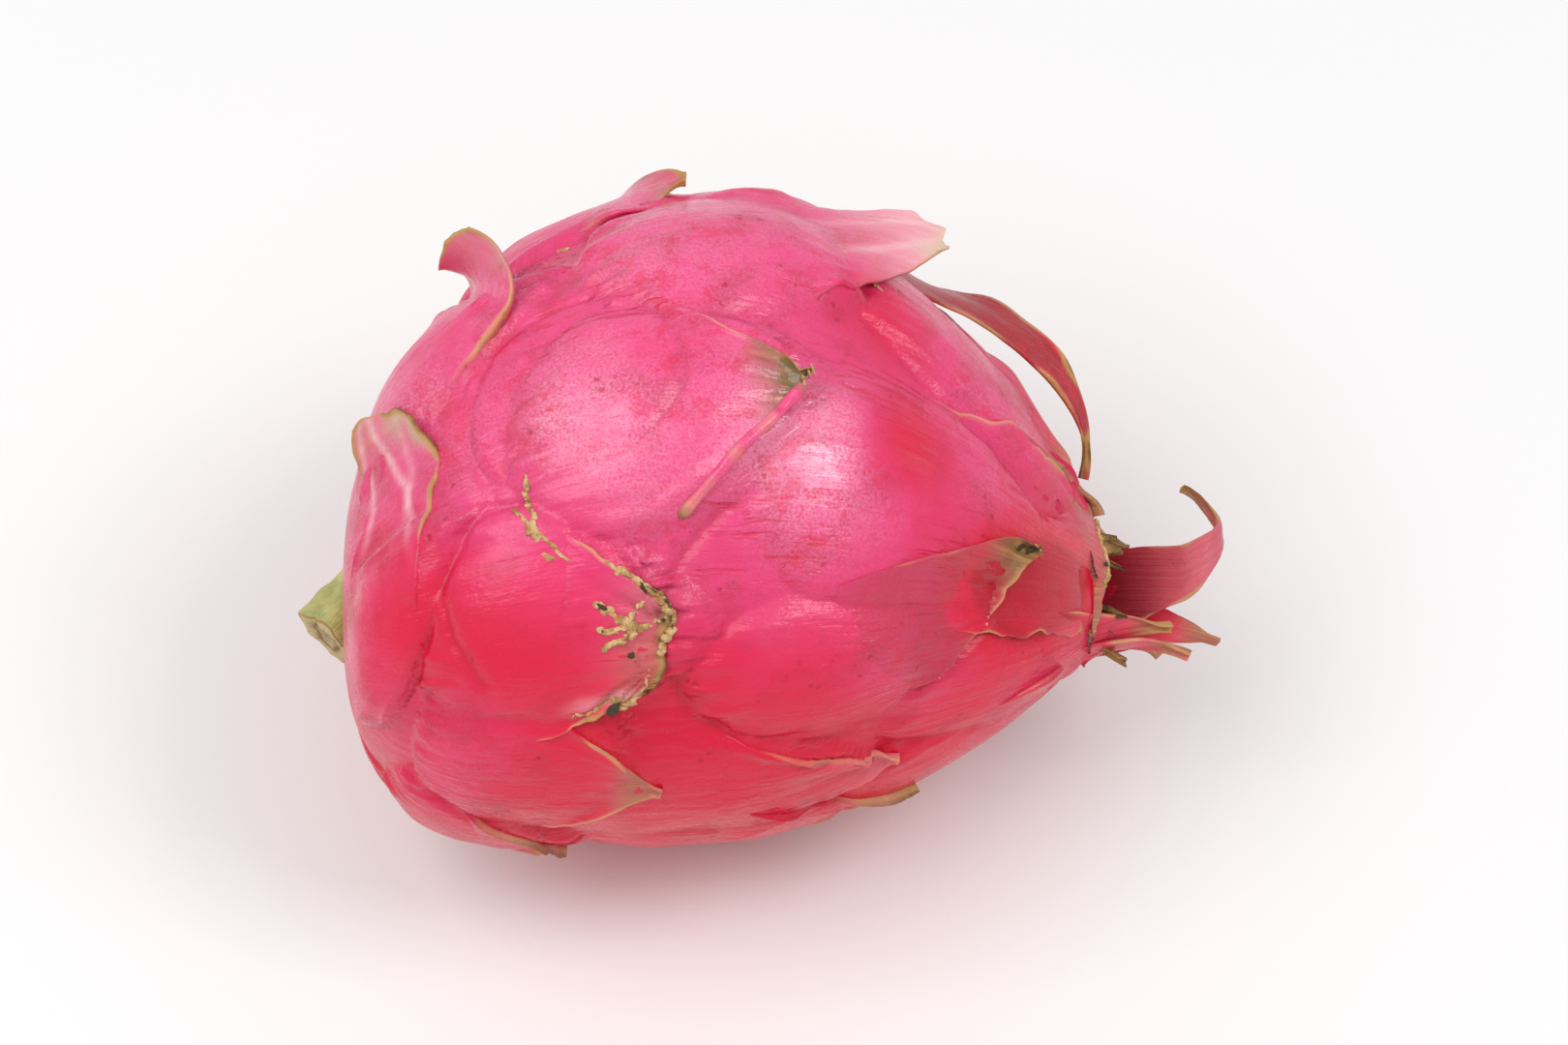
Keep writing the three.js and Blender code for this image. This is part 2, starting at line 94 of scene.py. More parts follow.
def on_centre_line(along, radius, turn):
    """A place beside the bowed centre line, at a radius and a turn."""
    station = along / HALF_LENGTH
    bow = BOW_FRONT * station * station + FLOWER_BOW * np.maximum(station, 0) ** 2
    return CENTRE + np.stack([
        along + 0 * turn,
        FLOWER_BACK * station - bow - radius * np.sin(turn),
        FLOWER_RISE * station - BOW_DOWN * station * station + radius * np.cos(turn),
    ], axis=-1)


def smooth_point(polar, turn):
    return on_centre_line(-HALF_LENGTH * np.cos(polar), smooth_radius(polar), turn)


def unit(vectors):
    return vectors / np.maximum(np.linalg.norm(vectors, axis=-1, keepdims=True), 1e-12)


def smooth_normal(polar, turn):
    step = 0.01
    along = smooth_point(polar + step, turn) - smooth_point(polar - step, turn)
    around = smooth_point(polar, turn + step) - smooth_point(polar, turn - step)
    return unit(np.cross(around, along))


# The scales follow one spiral from the stalk to the flower end, and some have habits of their own.
# ahead, length, width, aside and rolled are in metres. turn, sweep, lift, curl, hook and twist are in
# degrees. free is the share of the length at which the blade leaves the skin, torn the share missing at
# its tip and waist the share by which it narrows. full makes it blunter, slant tears it askew, thick
# raises its lower margin, and a darkening share turns all but its root a deeper wine red.
SCALE_COUNT = 35
FIRST_STATION = -0.9515
STATION_STEP = 0.0555
FIRST_TURN = -79
TURN_STEP = -131
SCALE_SEED = 7
HABITS = {
    2: dict(ahead=-0.003, turn=30, sweep=-79, length=0.0575, width=0.0107, free=0.36, lift=18,
            curl=-22, torn=0.42, full=1.7, slant=-0.06),
    5: dict(ahead=-0.008, turn=-6, length=0.0305, width=0.0115, sweep=-14, free=0.42, lift=70,
            curl=135, twist=72, full=2.2, torn=0.2),
    8: dict(ahead=0.003, turn=-7, length=0.0183, width=0.0105, free=0.3, lift=8, curl=-28, twist=26,
            full=3),
    10: dict(ahead=-0.0075, turn=2, length=0.0365, width=0.017, sweep=10, free=0.9, torn=0.45,
             curl=10, full=1.05),
    11: dict(length=0.024, free=0.9, lift=0, curl=0),
    13: dict(turn=-3, length=0.0225, width=0.0172, sweep=-10, free=0.72, lift=10, curl=70, twist=25,
             full=1.25, rolled=0.0022, thick=2.4),
    16: dict(turn=-9, length=0.0415, width=0.018, sweep=-22, free=0.35, lift=22, curl=-6, torn=0.22,
             twist=20, slant=0.05),
    18: dict(ahead=-0.012, turn=12, length=0.030, free=0.85),
    19: dict(turn=-6, length=0.060, width=0.013, sweep=3, free=0.23, lift=22, curl=-88, waist=0.33,
             twist=58, aged=1.0),
    21: dict(turn=15, length=0.034, width=0.0105, sweep=-26, free=0.84, lift=4, curl=40, full=1.8,
             rolled=0.0020, aged=0.5),
    22: dict(length=0.030, free=0.85, lift=0, curl=0),
    24: dict(turn=13, length=0.075, width=0.018, sweep=-4, free=0.4, lift=0, curl=-10, torn=0.5,
             thick=1.4),
    25: dict(length=0.030, free=0.7, lift=8, curl=20),
    26: dict(length=0.042, width=0.013, free=0.5, lift=14, curl=50),
    27: dict(turn=-12, length=0.020, width=0.012, free=0.9, lift=0, curl=0),
    28: dict(turn=-33, length=0.0535, width=0.0075, sweep=14, free=0.28, lift=4, curl=20, hook=230,
             full=3, aside=0.014, aged=0.6),
    29: dict(length=0.030, width=0.011, free=0.5, lift=12, curl=20),
    30: dict(length=0.016, width=0.009, free=0.6, lift=10, curl=-30),
    31: dict(length=0.034, width=0.011, free=0.36, lift=24, curl=60),
    32: dict(length=0.020, width=0.011, free=0.6, lift=0, curl=-20, torn=0.3),
    33: dict(length=0.015, width=0.009, free=0.5, lift=10, curl=0),
    34: dict(length=0.022, width=0.009, free=0.4, lift=20, curl=70),
}


def grow_scales():
    """Every scale's place and shape, drawn at random where no habit settles it."""
    state = SCALE_SEED

    def draw(low, high):
        nonlocal state
        state = (state * 16807) % 2147483647
        return low + (high - low) * (state / 2147483647)

    grown = []
    for index in range(SCALE_COUNT):
        habit = HABITS.get(index, {})
        station = FIRST_STATION + STATION_STEP * index + habit.get("ahead", 0) / HALF_LENGTH
        turn = math.radians(FIRST_TURN + TURN_STEP * index + habit.get("turn", 0))
        radius = float(smooth_radius(polar_of(station)))
        underneath = math.cos(turn) < -0.35 and station < 0.5
        scale = dict(index=index, polar=float(polar_of(station)), turn=turn)
        scale["width"] = habit.get("width") or (0.002 + 0.34 * radius) * draw(0.92, 1.05)
        plain = 0.016 + 0.012 * (station + 1) + 0.010 * max(0, station) ** 2
        scale["length"] = habit.get("length") or plain * draw(0.9, 1.1)
        scale["sweep"] = math.radians(habit.get("sweep") or draw(-10, 10))
        scale["free"] = habit.get("free") or (0.95 if underneath else draw(0.6, 0.8))
        plain = 0 if underneath or "lift" in habit else draw(0, 12)
        scale["lift"] = math.radians(habit.get("lift", plain))
        plain = 0 if underneath or "curl" in habit else draw(0, 45)
        scale["curl"] = math.radians(habit.get("curl", plain))
        for name in ("hook", "twist"):
            scale[name] = math.radians(habit.get(name, 0))
        for name in ("torn", "waist", "slant", "aside", "aged"):
            scale[name] = habit.get(name, 0)
        scale["rolled"] = habit.get("rolled", 0.0007)
        scale["thick"] = habit.get("thick", 1)
        scale["full"] = habit.get("full", 1.2)
        grown.append(scale)
    return grown


scales = grow_scales()

CUSHION_HEIGHT = 0.0032
CUSHION_BACK = 0.019
CUSHION_FRONT = 0.027
MEAN_CUSHION = 0.0018


def wrap(angle):
    return np.arctan2(np.sin(angle), np.cos(angle))


def on_scale(scale, polar, turn):
    """Distances along and across a scale of a place on the skin."""
    radius = np.maximum(smooth_radius(polar), LEAST_RADIUS)
    up = (polar - scale["polar"]) * MERIDIAN_RADIUS
    side = wrap(turn - scale["turn"]) * radius
    lean = scale["sweep"] * 0.5
    return up * np.cos(lean) + side * np.sin(lean), side * np.cos(lean) - up * np.sin(lean)


def cushion(scale, along, across):
    """Height of the swelling under one scale."""
    reach = np.where(along > 0, CUSHION_FRONT, CUSHION_BACK)
    side_reach = (scale["width"] + 0.002) * (1 - 0.4 * np.clip(along / CUSHION_FRONT, 0, 1))
    distance = (along / reach) ** 2 + (across / side_reach) ** 2
    return CUSHION_HEIGHT * np.maximum(1 - distance, 0) ** 0.8


def noise(x, y, seed):
    """Smooth random values from -1 to 1 on a plane."""
    cell_x, cell_y = np.floor(x), np.floor(y)
    share_x, share_y = x - cell_x, y - cell_y
    share_x = share_x * share_x * (3 - 2 * share_x)
    share_y = share_y * share_y * (3 - 2 * share_y)

    def corner(step_x, step_y):
        angle = (cell_x + step_x) * 127.1 + (cell_y + step_y) * 311.7 + seed * 74.7
        value = np.sin(angle) * 43758.5453
        return (value - np.floor(value)) * 2 - 1

    low = corner(0, 0) * (1 - share_x) + corner(1, 0) * share_x
    high = corner(0, 1) * (1 - share_x) + corner(1, 1) * share_x
    return low * (1 - share_y) + high * share_y


WRINKLE_DEPTH = 0.00040
DENT_DEPTH = 0.00026


def wrinkles(scale, along, across, pucker):
    """Fine folds that run up a scale, gather towards its tip and deepen in the puckers."""
    tip = 0.9 * scale["length"] * (1 - scale["torn"])
    gather = np.clip(1.25 - along / tip, 0.3, 1.25)
    over = across / gather
    seed = scale["index"]
    coarse = 1 - np.abs(noise(over / 0.0034, along / 0.016, seed)) * 2
    fine = 1 - np.abs(noise(over / 0.0016 + 0.5, along / 0.009, seed + 50)) * 2
    dents = noise(along / 0.007, across / 0.006, seed + 90)
    depth = 0.15 + 0.7 * smoothstep(along, 0.3 * tip, 0.9 * tip) + 1.3 * pucker
    return WRINKLE_DEPTH * depth * (coarse + 0.5 * fine) + DENT_DEPTH * dents


CREASE_DEPTH = 0.0012
CREASE_SHARPNESS = 0.0005
# One cushion's top is set off by a shallow groove: its scale, place, radius, width and depth.
RING_SCALE = 13
RING_ALONG, RING_ACROSS = -0.0095, -0.0068
RING_RADIUS = 0.0155
RING_WIDTH = 0.0006
RING_DEPTH = 0.0006
# Folds beside some cushions: depth, then places as degrees from the stalk's pole and degrees of turn.
FOLDS = [
    (0.0008, (88, 34), (82, 42), (79, 50), (79, 60), (83, 71), (89, 78)),
    (0.0006, (58, 28), (51, 26), (47, 31), (44, 40), (47, 51), (52, 60)),
    (0.0004, (46, -13), (46, 0), (48, 14), (53, 25)), (0.0012, (124, 44), (132, 47), (141, 46)),
]
FOLD_WIDTH = 0.0009
# Depth at which a fold's painted shade is full.
DARKEST_FOLD = 0.0008


def folded(polar, turn):
    """Depth of the nearest folds at places on the skin."""
    depth = np.zeros_like(polar)
    radius = np.maximum(smooth_radius(polar), LEAST_RADIUS)
    for deepest, *stops in FOLDS:
        nearest = np.full_like(polar, 1.0)
        for (start_polar, start_turn), (end_polar, end_turn) in zip(stops, stops[1:]):
            up = (polar - math.radians(start_polar)) * MERIDIAN_RADIUS
            side = wrap(turn - math.radians(start_turn)) * radius
            run_up = math.radians(end_polar - start_polar) * MERIDIAN_RADIUS
            run_side = math.radians(end_turn - start_turn) * radius
            share = np.clip((up * run_up + side * run_side) / (run_up ** 2 + run_side ** 2), 0, 1)
            nearest = np.minimum(nearest, np.hypot(up - share * run_up, side - share * run_side))
        depth = np.maximum(depth, deepest * np.exp(-(nearest / FOLD_WIDTH) ** 2))
    return depth


def relief(polar, turn, creased=1.0):
    """Height of the skin over the smooth body, then how deep in a pucker or fold, as the strength of
    its painted shade, and how far up a cushion.
    """
    places = [on_scale(scale, polar, turn) for scale in scales]
    heights = np.array([cushion(scale, *place) for scale, place in zip(scales, places)])
    total = np.sum(heights ** 4, axis=0) ** 0.25
    second, first = np.partition(heights, -2, axis=0)[-2:]
    meeting = np.exp(-((first - second) / CREASE_SHARPNESS) ** 2)
    meeting *= smoothstep(first / CUSHION_HEIGHT, 0.1, 0.5)
    meeting *= 0.6 + 0.4 * noise(polar / 0.12, turn / 0.15, 3)
    valley = 1 - smoothstep(total / CUSHION_HEIGHT, 0.35, 0.8)
    pucker = np.maximum(valley, meeting)
    weights = (heights / CUSHION_HEIGHT) ** 8
    folds = np.zeros_like(polar)
    for scale, place, weight in zip(scales, places, weights):
        near = weight > 1e-7
        folds[near] += weight[near] * wrinkles(scale, place[0][near], place[1][near], pucker[near])
    folds /= np.maximum(weights.sum(axis=0), 1e-7)
    along, across = places[RING_SCALE]
    ring_radius = RING_RADIUS * (1 + 0.06 * noise(along / 0.009, across / 0.009, 77))
    from_ring = np.hypot(along - RING_ALONG, across - RING_ACROSS) - ring_radius
    ring = np.exp(-(from_ring / RING_WIDTH) ** 2) * (1 - smoothstep(across, 0.002, 0.009))
    fade = smoothstep(np.sin(polar), 0.12, 0.45)
    crease = folded(polar, turn)
    sunk = creased * (CREASE_DEPTH * meeting + crease)
    height = total - MEAN_CUSHION + folds - sunk - RING_DEPTH * ring
    shade = np.max([0.4 * valley, meeting, 0.7 * ring, crease / DARKEST_FOLD], axis=0)
    return height * fade, shade * fade, total / CUSHION_HEIGHT * fade


def skin_point(polar, turn, lift=0.0, creased=1.0):
    """Places on the finished skin, or lifted off it, with the flat spot that the fruit rests on."""
    point = smooth_point(polar, turn)
    above = np.where(np.cos(turn) > 0, REST_RADIUS + REST_FADE, 0)
    from_rest = np.hypot(point[..., 0] - REST_PLACE[0], point[..., 1] - REST_PLACE[1]) + above
    free = smoothstep(from_rest, REST_RADIUS, REST_RADIUS + REST_FADE)
    raised = (point[..., 2] + REST_SUNK) * (1 - free) + relief(polar, turn, creased)[0] * free
    return point + smooth_normal(polar, turn) * (raised + lift)[..., None]


def crater_point(share, turn):
    """Places in the crater, from its rim at share 0 to the middle of its floor at 1."""
    rim = skin_point(np.full_like(turn, RIM_ANGLE), turn)
    rim_along = -HALF_LENGTH * math.cos(RIM_ANGLE)
    rim_radius = float(smooth_radius(np.array(RIM_ANGLE)))
    lip = on_centre_line(rim_along + CRATER_LIP, rim_radius - CRATER_RIM_WIDTH, turn)
    floor_radius = CRATER_FLOOR_RADIUS + 0.0009 * np.cos(7 * turn)
    wall = on_centre_line(rim_along - CRATER_DEPTH, floor_radius, turn)
    floor = on_centre_line(rim_along - CRATER_DEPTH, 0 * turn, turn)
    # The lip, the wall and the floor come one after the other.
    first = np.clip(share / 0.3, 0, 1)[..., None]
    second = np.clip((share - 0.3) / 0.45, 0, 1)[..., None]
    third = np.clip((share - 0.75) / 0.25, 0, 1)[..., None]
    return rim + (lip - rim) * first + (wall - lip) * second + (floor - wall) * third


OUTSIDE_SHARE = 0.9


def body_point(share, turn):
    """Places on the whole body: the skin from the stalk to the rim, then the crater."""
    polar = RIM_ANGLE * np.minimum(share / OUTSIDE_SHARE, 1)
    outside = skin_point(polar, turn)
    outside[..., 0] += DIMPLE_DEPTH * (1 - smoothstep(smooth_radius(polar), 0, DIMPLE_RADIUS))
    inside = crater_point(np.clip((share - OUTSIDE_SHARE) / (1 - OUTSIDE_SHARE), 0, 1), turn)
    return np.where((share > OUTSIDE_SHARE)[..., None], inside, outside)


def read_points(mesh):
    flat = np.empty(len(mesh.vertices) * 3)
    mesh.vertices.foreach_get("co", flat)
    return flat.reshape(-1, 3)


def write_points(mesh, points):
    mesh.vertices.foreach_set("co", points.ravel())
    mesh.update()


def mesh_piece(name, bm, material):
    mesh = bpy.data.meshes.new(name)
    bm.to_mesh(mesh)
    bm.free()
    mesh.shade_smooth()
    piece = bpy.data.objects.new(name, mesh)
    bpy.context.scene.collection.objects.link(piece)
    mesh.materials.append(material)
    return piece


def round_piece(name, columns, rings, finish):
    """A ball still to be shaped, with each point's share of the way between its poles and its turn."""
    ball = bmesh.new()
    bmesh.ops.create_uvsphere(ball, u_segments=columns, v_segments=rings, radius=1)
    piece = mesh_piece(name, ball, finish)
    spots = read_points(piece.data)
    share = np.arccos(np.clip(-spots[:, 2], -1, 1)) / math.pi
    return piece, share, np.arctan2(spots[:, 1], spots[:, 0])


def feed(tree, socket, value):
    """Gives a socket a plain value, or the output that feeds it."""
    if isinstance(value, bpy.types.NodeSocket):
        tree.links.new(value, socket)
    else:
        socket.default_value = value


def add_node(tree, kind, inputs=None, **settings):
    """A new shader node. inputs gives a socket's value, or the output that feeds it."""
    node = tree.nodes.new(kind)
    for name, value in settings.items():
        setattr(node, name, value)
    for name, value in (inputs or {}).items():
        feed(tree, node.inputs[name], value)
    return node


def mix_colour(tree, share, first, second):
    node = tree.nodes.new("ShaderNodeMix")
    node.data_type = "RGBA"
    for number, value in ((0, share), (6, first), (7, second)):
        feed(tree, node.inputs[number], value)
    return node.outputs[2]


def between(tree, value, low, high):
    """0 at low and 1 at high, eased at both ends."""
    node = add_node(tree, "ShaderNodeMapRange", {"Value": value, "From Min": low, "From Max": high},
                    interpolation_type="SMOOTHSTEP")
    return node.outputs["Result"]


def combine(tree, operation, first, second):
    node = tree.nodes.new("ShaderNodeMath")
    node.operation = operation
    for number, value in enumerate((first, second)):
        feed(tree, node.inputs[number], value)
    return node.outputs[0]


def times(tree, first, second):
    return combine(tree, "MULTIPLY", first, second)


def plus(tree, first, second):
    return combine(tree, "ADD", first, second)


def attribute(tree, name, output="Fac"):
    return add_node(tree, "ShaderNodeAttribute", attribute_name=name).outputs[output]


def grain(tree, vector, scale, detail=2.0, rough=0.5):
    inputs = {"Vector": vector, "Scale": scale, "Detail": detail, "Roughness": rough}
    return add_node(tree, "ShaderNodeTexNoise", inputs).outputs["Fac"]


def new_finish(name):
    finish = bpy.data.materials.new(name)
    finish.use_nodes = True
    return finish, finish.node_tree, finish.node_tree.nodes["Principled BSDF"]


CRIMSON = (0.70, 0.006, 0.040, 1)
PINK = (0.81, 0.058, 0.225, 1)
DEEP_RED = (0.42, 0.003, 0.014, 1)
WINE = (0.40, 0.028, 0.042, 1)
# Pale pink of the bloom, partly the rind's own wax and partly painted sheen.
BLOOM_AND_SHEEN = (0.87, 0.30, 0.46, 1)
PALE_MARGIN = (0.74, 0.32, 0.19, 1)
TAN = (0.50, 0.27, 0.09, 1)
BARK_BROWN = (0.13, 0.065, 0.022, 1)
OLIVE = (0.22, 0.15, 0.05, 1)
PALE_TIP = (0.88, 0.44, 0.50, 1)
GREEN_WHITE = (0.62, 0.62, 0.36, 1)


def new_group(name, inputs, outputs):
    group = bpy.data.node_groups.new(name, "ShaderNodeTree")
    for label, kind in inputs:
        group.interface.new_socket(label, in_out="INPUT", socket_type=kind)
    for label, kind in outputs:
        group.interface.new_socket(label, in_out="OUTPUT", socket_type=kind)
    return group, group.nodes.new("NodeGroupInput").outputs, group.nodes.new("NodeGroupOutput").inputs


COLOUR, VALUE, VECTOR = "NodeSocketColor", "NodeSocketFloat", "NodeSocketVector"

# Tan that turns to brown as a mask rises, broken up by the plant's own grain.
drying, given, made = new_group(
    "drying", [("Colour", COLOUR), ("Mask", VALUE), ("Grain", VALUE)],
    [("Colour", COLOUR), ("Height", VALUE)])
broken = plus(drying, given["Mask"], times(drying, given["Grain"], 0.9))
broken = combine(drying, "SUBTRACT", broken, 0.45)
tanned = mix_colour(drying, between(drying, broken, 0.22, 0.5), given["Colour"], TAN)
tanned = mix_colour(drying, between(drying, broken, 0.55, 0.95), tanned, BARK_BROWN)
drying.links.new(tanned, made["Colour"])
drying.links.new(times(drying, between(drying, broken, 0.3, 0.8), 0.0003), made["Height"])

# Fine fibres along the growth, and the pores between them.
fibres, given, made = new_group(
    "fibres", [("Flow", VECTOR), ("Place", VECTOR), ("Depth", VALUE)],
    [("Streaks", VALUE), ("Height", VALUE)])
streaks = grain(fibres, given["Flow"], 0.55, 4, 0.6)
pores = grain(fibres, given["Place"], 1500, 2, 0.5)
fibre_height = plus(fibres, streaks, times(fibres, pores, 0.2))
fibres.links.new(streaks, made["Streaks"])
fibres.links.new(times(fibres, fibre_height, given["Depth"]), made["Height"])


def place_group(tree, group, inputs):
    node = tree.nodes.new("ShaderNodeGroup")
    node.node_tree = group
    for name, value in inputs.items():
        feed(tree, node.inputs[name], value)
    return node.outputs


def let_dry(tree, colour, mask, blotches):
    """The drying of a finish, with its colour and the height of its flakes."""
    return place_group(tree, drying, {"Colour": colour, "Mask": mask, "Grain": blotches})


def raise_bumps(tree, shader, height, strength):
    """Bumps of a height in metres on the finish, and the way that they make it face."""
    bump = add_node(tree, "ShaderNodeBump", {"Height": height, "Distance": 1.0, "Strength": strength})
    tree.links.new(bump.outputs["Normal"], shader.inputs["Normal"])
    return bump.outputs["Normal"]


skin_finish, tree, shader = new_finish("red rind")
place = add_node(tree, "ShaderNodeTexCoord").outputs["Object"]
flow = attribute(tree, "flow", "Vector")
height = add_node(tree, "ShaderNodeSeparateXYZ", {"Vector": place}).outputs["Z"]
patches = grain(tree, place, 38, 4, 0.55)
blotches = grain(tree, place, 150, 5, 0.6)
speckle = grain(tree, place, 2600, 3, 0.65)
fibre = place_group(tree, fibres, {"Flow": flow, "Place": place, "Depth": 0.00035})
# Pink towards the top as painted light from above, crimson below, with darker mottling and a pale bloom
# that is partly painted sheen.
tone_light_shade = attribute(tree, "tone_light_shade")
painted_top_light = plus(tree, height, times(tree, patches, 0.07))
painted_top_light = between(tree, plus(tree, painted_top_light, times(tree, tone_light_shade, 0.03)), 0.060, 0.135)
colour = mix_colour(tree, painted_top_light, CRIMSON, PINK)
mottle = plus(tree, blotches, times(tree, patches, 0.5))
mottle = times(tree, between(tree, mottle, 0.7, 1.0), 0.5)
colour = mix_colour(tree, mottle, colour, DEEP_RED)
# The pale bloom is partly the rind's own wax and partly painted sheen, strongest on the domes and
# higher up, where light from above falls.
bloom_and_sheen = times(tree, between(tree, speckle, 0.25, 0.75), between(tree, patches, 0.35, 0.6))
bloom_and_sheen = times(tree, bloom_and_sheen, between(tree, attribute(tree, "dome"), -0.8, 1.0))
bloom_and_sheen = times(tree, bloom_and_sheen, between(tree, height, 0.035, 0.085))
bloom_and_sheen = times(tree, bloom_and_sheen, combine(tree, "MAXIMUM", plus(tree, tone_light_shade, 0.4), 0.1))
# Thicker where the tone spots are paler: partly painted sheen.
thick = times(tree, tone_light_shade, between(tree, speckle, 0.2, 0.7))
thick = times(tree, thick, between(tree, attribute(tree, "dome"), 0.0, 0.8))
bloom_and_sheen = plus(tree, bloom_and_sheen, combine(tree, "MAXIMUM", times(tree, thick, 0.55), 0.0))
colour = mix_colour(tree, combine(tree, "MINIMUM", bloom_and_sheen, 0.8), colour, BLOOM_AND_SHEEN)
# Below 0 the tone deepens to crimson, then to deep red, where the deepest spots are painted shade.
deeper = combine(tree, "MINIMUM", times(tree, tone_light_shade, -0.9), 0.9)
colour = mix_colour(tree, deeper, colour, CRIMSON)
deepest = times(tree, between(tree, tone_light_shade, -0.9, -1.8), 0.75)
colour = mix_colour(tree, deepest, colour, DEEP_RED)
# Painted shade in the puckers, folds and ring groove between the cushions.
pucker = times(tree, attribute(tree, "pucker"), 0.28)
colour = mix_colour(tree, pucker, colour, DEEP_RED)
# Some blades are darker, a wine red over all but their roots.
colour = mix_colour(tree, attribute(tree, "aged"), colour, WINE)
stains = between(tree, grain(tree, place, 260, 4, 0.65), 0.52, 0.60)
stains = times(tree, stains, between(tree, patches, 0.45, 0.6))
colour = mix_colour(tree, times(tree, stains, 0.35), colour, CRIMSON)
# Fine creases, with painted shade in their bottoms.
wavering = add_node(tree, "ShaderNodeTexNoise", {"Vector": place, "Scale": 160.0, "Detail": 1.0})
wavering = {0: wavering.outputs["Color"], "Scale": 1.6}
wavering = add_node(tree, "ShaderNodeVectorMath", wavering, operation="SCALE").outputs["Vector"]
wavering = {0: flow, 1: wavering}
wavering = add_node(tree, "ShaderNodeVectorMath", wavering, operation="ADD").outputs["Vector"]
crease = between(tree, grain(tree, wavering, 0.95, 2, 0.5), 0.53, 0.68)
crease = times(tree, crease, attribute(tree, "creased"))
colour = mix_colour(tree, times(tree, crease, 0.6), colour, CRIMSON)
# Scattered dark pits, in clusters.
pits = add_node(tree, "ShaderNodeTexVoronoi", {"Vector": place, "Scale": 420.0, "Randomness": 1.0})
hollow = combine(tree, "SUBTRACT", 1.0, between(tree, pits.outputs["Distance"], 0.10, 0.26))
pitted = times(tree, hollow, between(tree, blotches, 0.54, 0.62))
colour = mix_colour(tree, times(tree, pitted, 0.6), colour, DEEP_RED)
# Pale and green tips, then the thin light margin, then what has dried.
pale = times(tree, attribute(tree, "pale"), plus(tree, fibre["Streaks"], 0.35))
colour = mix_colour(tree, pale, colour, PALE_TIP)
green = times(tree, attribute(tree, "green"), between(tree, blotches, 0.3, 0.6))
colour = mix_colour(tree, green, colour, GREEN_WHITE)
edge = times(tree, between(tree, attribute(tree, "edge"), 0.1, 0.6), 0.8)
colour = mix_colour(tree, edge, colour, PALE_MARGIN)
brown = attribute(tree, "brown")
withered = mix_colour(tree, between(tree, fibre["Streaks"], 0.45, 0.7), OLIVE, TAN)
browned = times(tree, brown, between(tree, blotches, 0.2, 0.5))
colour = mix_colour(tree, browned, colour, withered)
dried = let_dry(tree, colour, attribute(tree, "dried"), blotches)
tree.links.new(dried["Colour"], shader.inputs["Base Color"])
worn = plus(tree, blotches, times(tree, attribute(tree, "dried"), 0.8))
worn = plus(tree, worn, times(tree, brown, 0.3))
worn = plus(tree, worn, times(tree, between(tree, patches, 0.42, 0.6), -0.22))
rough = {"Value": worn, "From Min": 0.2, "From Max": 1.2, "To Min": 0.2, "To Max": 0.75}
rough = add_node(tree, "ShaderNodeMapRange", rough).outputs["Result"]
tree.links.new(rough, shader.inputs["Roughness"])
glossy = attribute(tree, "glossy")
glossy = times(tree, glossy, between(tree, grain(tree, wavering, 0.3, 3, 0.6), 0.45, 0.54))
wax = plus(tree, times(tree, glossy, 0.85), 0.15)
tree.links.new(wax, shader.inputs["Coat Weight"])
bumps = plus(tree, fibre["Height"], times(tree, blotches, 0.0004))
bumps = combine(tree, "SUBTRACT", bumps, times(tree, pitted, 0.00012))
bumps = combine(tree, "SUBTRACT", bumps, times(tree, crease, 0.00022))
bumps = plus(tree, bumps, dried["Height"])
tree.links.new(raise_bumps(tree, shader, bumps, 0.8), shader.inputs["Coat Normal"])
shader.inputs["Coat Roughness"].default_value = 0.10
shader.inputs["Subsurface Weight"].default_value = 0.10
shader.inputs["Subsurface Radius"].default_value = (1.0, 0.2, 0.2)
shader.inputs["Subsurface Scale"].default_value = 0.002
shader.inputs["Specular IOR Level"].default_value = 0.3


def set_attributes(piece, **layers):
    """Values at a piece's points, which its finish reads by name."""
    for name, values in layers.items():
        kind, field = ("FLOAT_VECTOR", "vector") if values.ndim == 2 else ("FLOAT", "value")
        layer = piece.data.attributes.new(name, kind, "POINT")
        layer.data.foreach_set(field, np.ascontiguousarray(values, np.float32).ravel())


def flow_of(polar, turn):
    """Coordinates in millimetres that run round the fruit and, eight times slower, along it."""
    around = 1000 * GIRTH_RADIUS
    along = 1000 * MERIDIAN_RADIUS * polar / 8
    return np.stack([around * np.cos(turn), around * np.sin(turn), along], axis=-1)


# Where the rind is paler or, below 0, deeper, partly its own tone and partly painted light: some paler
# spots are painted light and sheen, and the deepest are painted shade in the pocket under a scale's tip
# by the flower end. Each gives degrees from the stalk's pole, degrees of turn, radius and amount.
TONE_LIGHT_SHADE_SPOTS = [
    (68, 8, 0.010, 0.45), (74, 28, 0.008, 0.4), (96, 25, 0.008, 1.2), (103, 15, 0.004, 0.8),
    (33, -46, 0.010, 0.4), (93, 50, 0.010, 0.3), (53, 34, 0.007, 0.1), (48, 0, 0.012, 0.4),
    (74, -8, 0.010, 0.1), (114, 17, 0.007, -0.8), (40, 45, 0.011, -0.8), (58, 56, 0.009, -0.6),
    (85, 92, 0.022, -0.8), (74, 76, 0.012, -0.7), (111, -15, 0.008, -0.5), (127, 50, 0.008, -0.3),
    (78, 5, 0.007, -0.3), (48, -10, 0.008, -0.2), (126, 62, 0.006, 0.3), (73, -16, 0.008, 0.15),
    (45, 8, 0.006, 0.3), (98, 60, 0.010, -0.25), (134, 48, 0.0075, -3.0), (142, 40, 0.0065, -2.2),
    (127, 44, 0.004, -1.2),
]

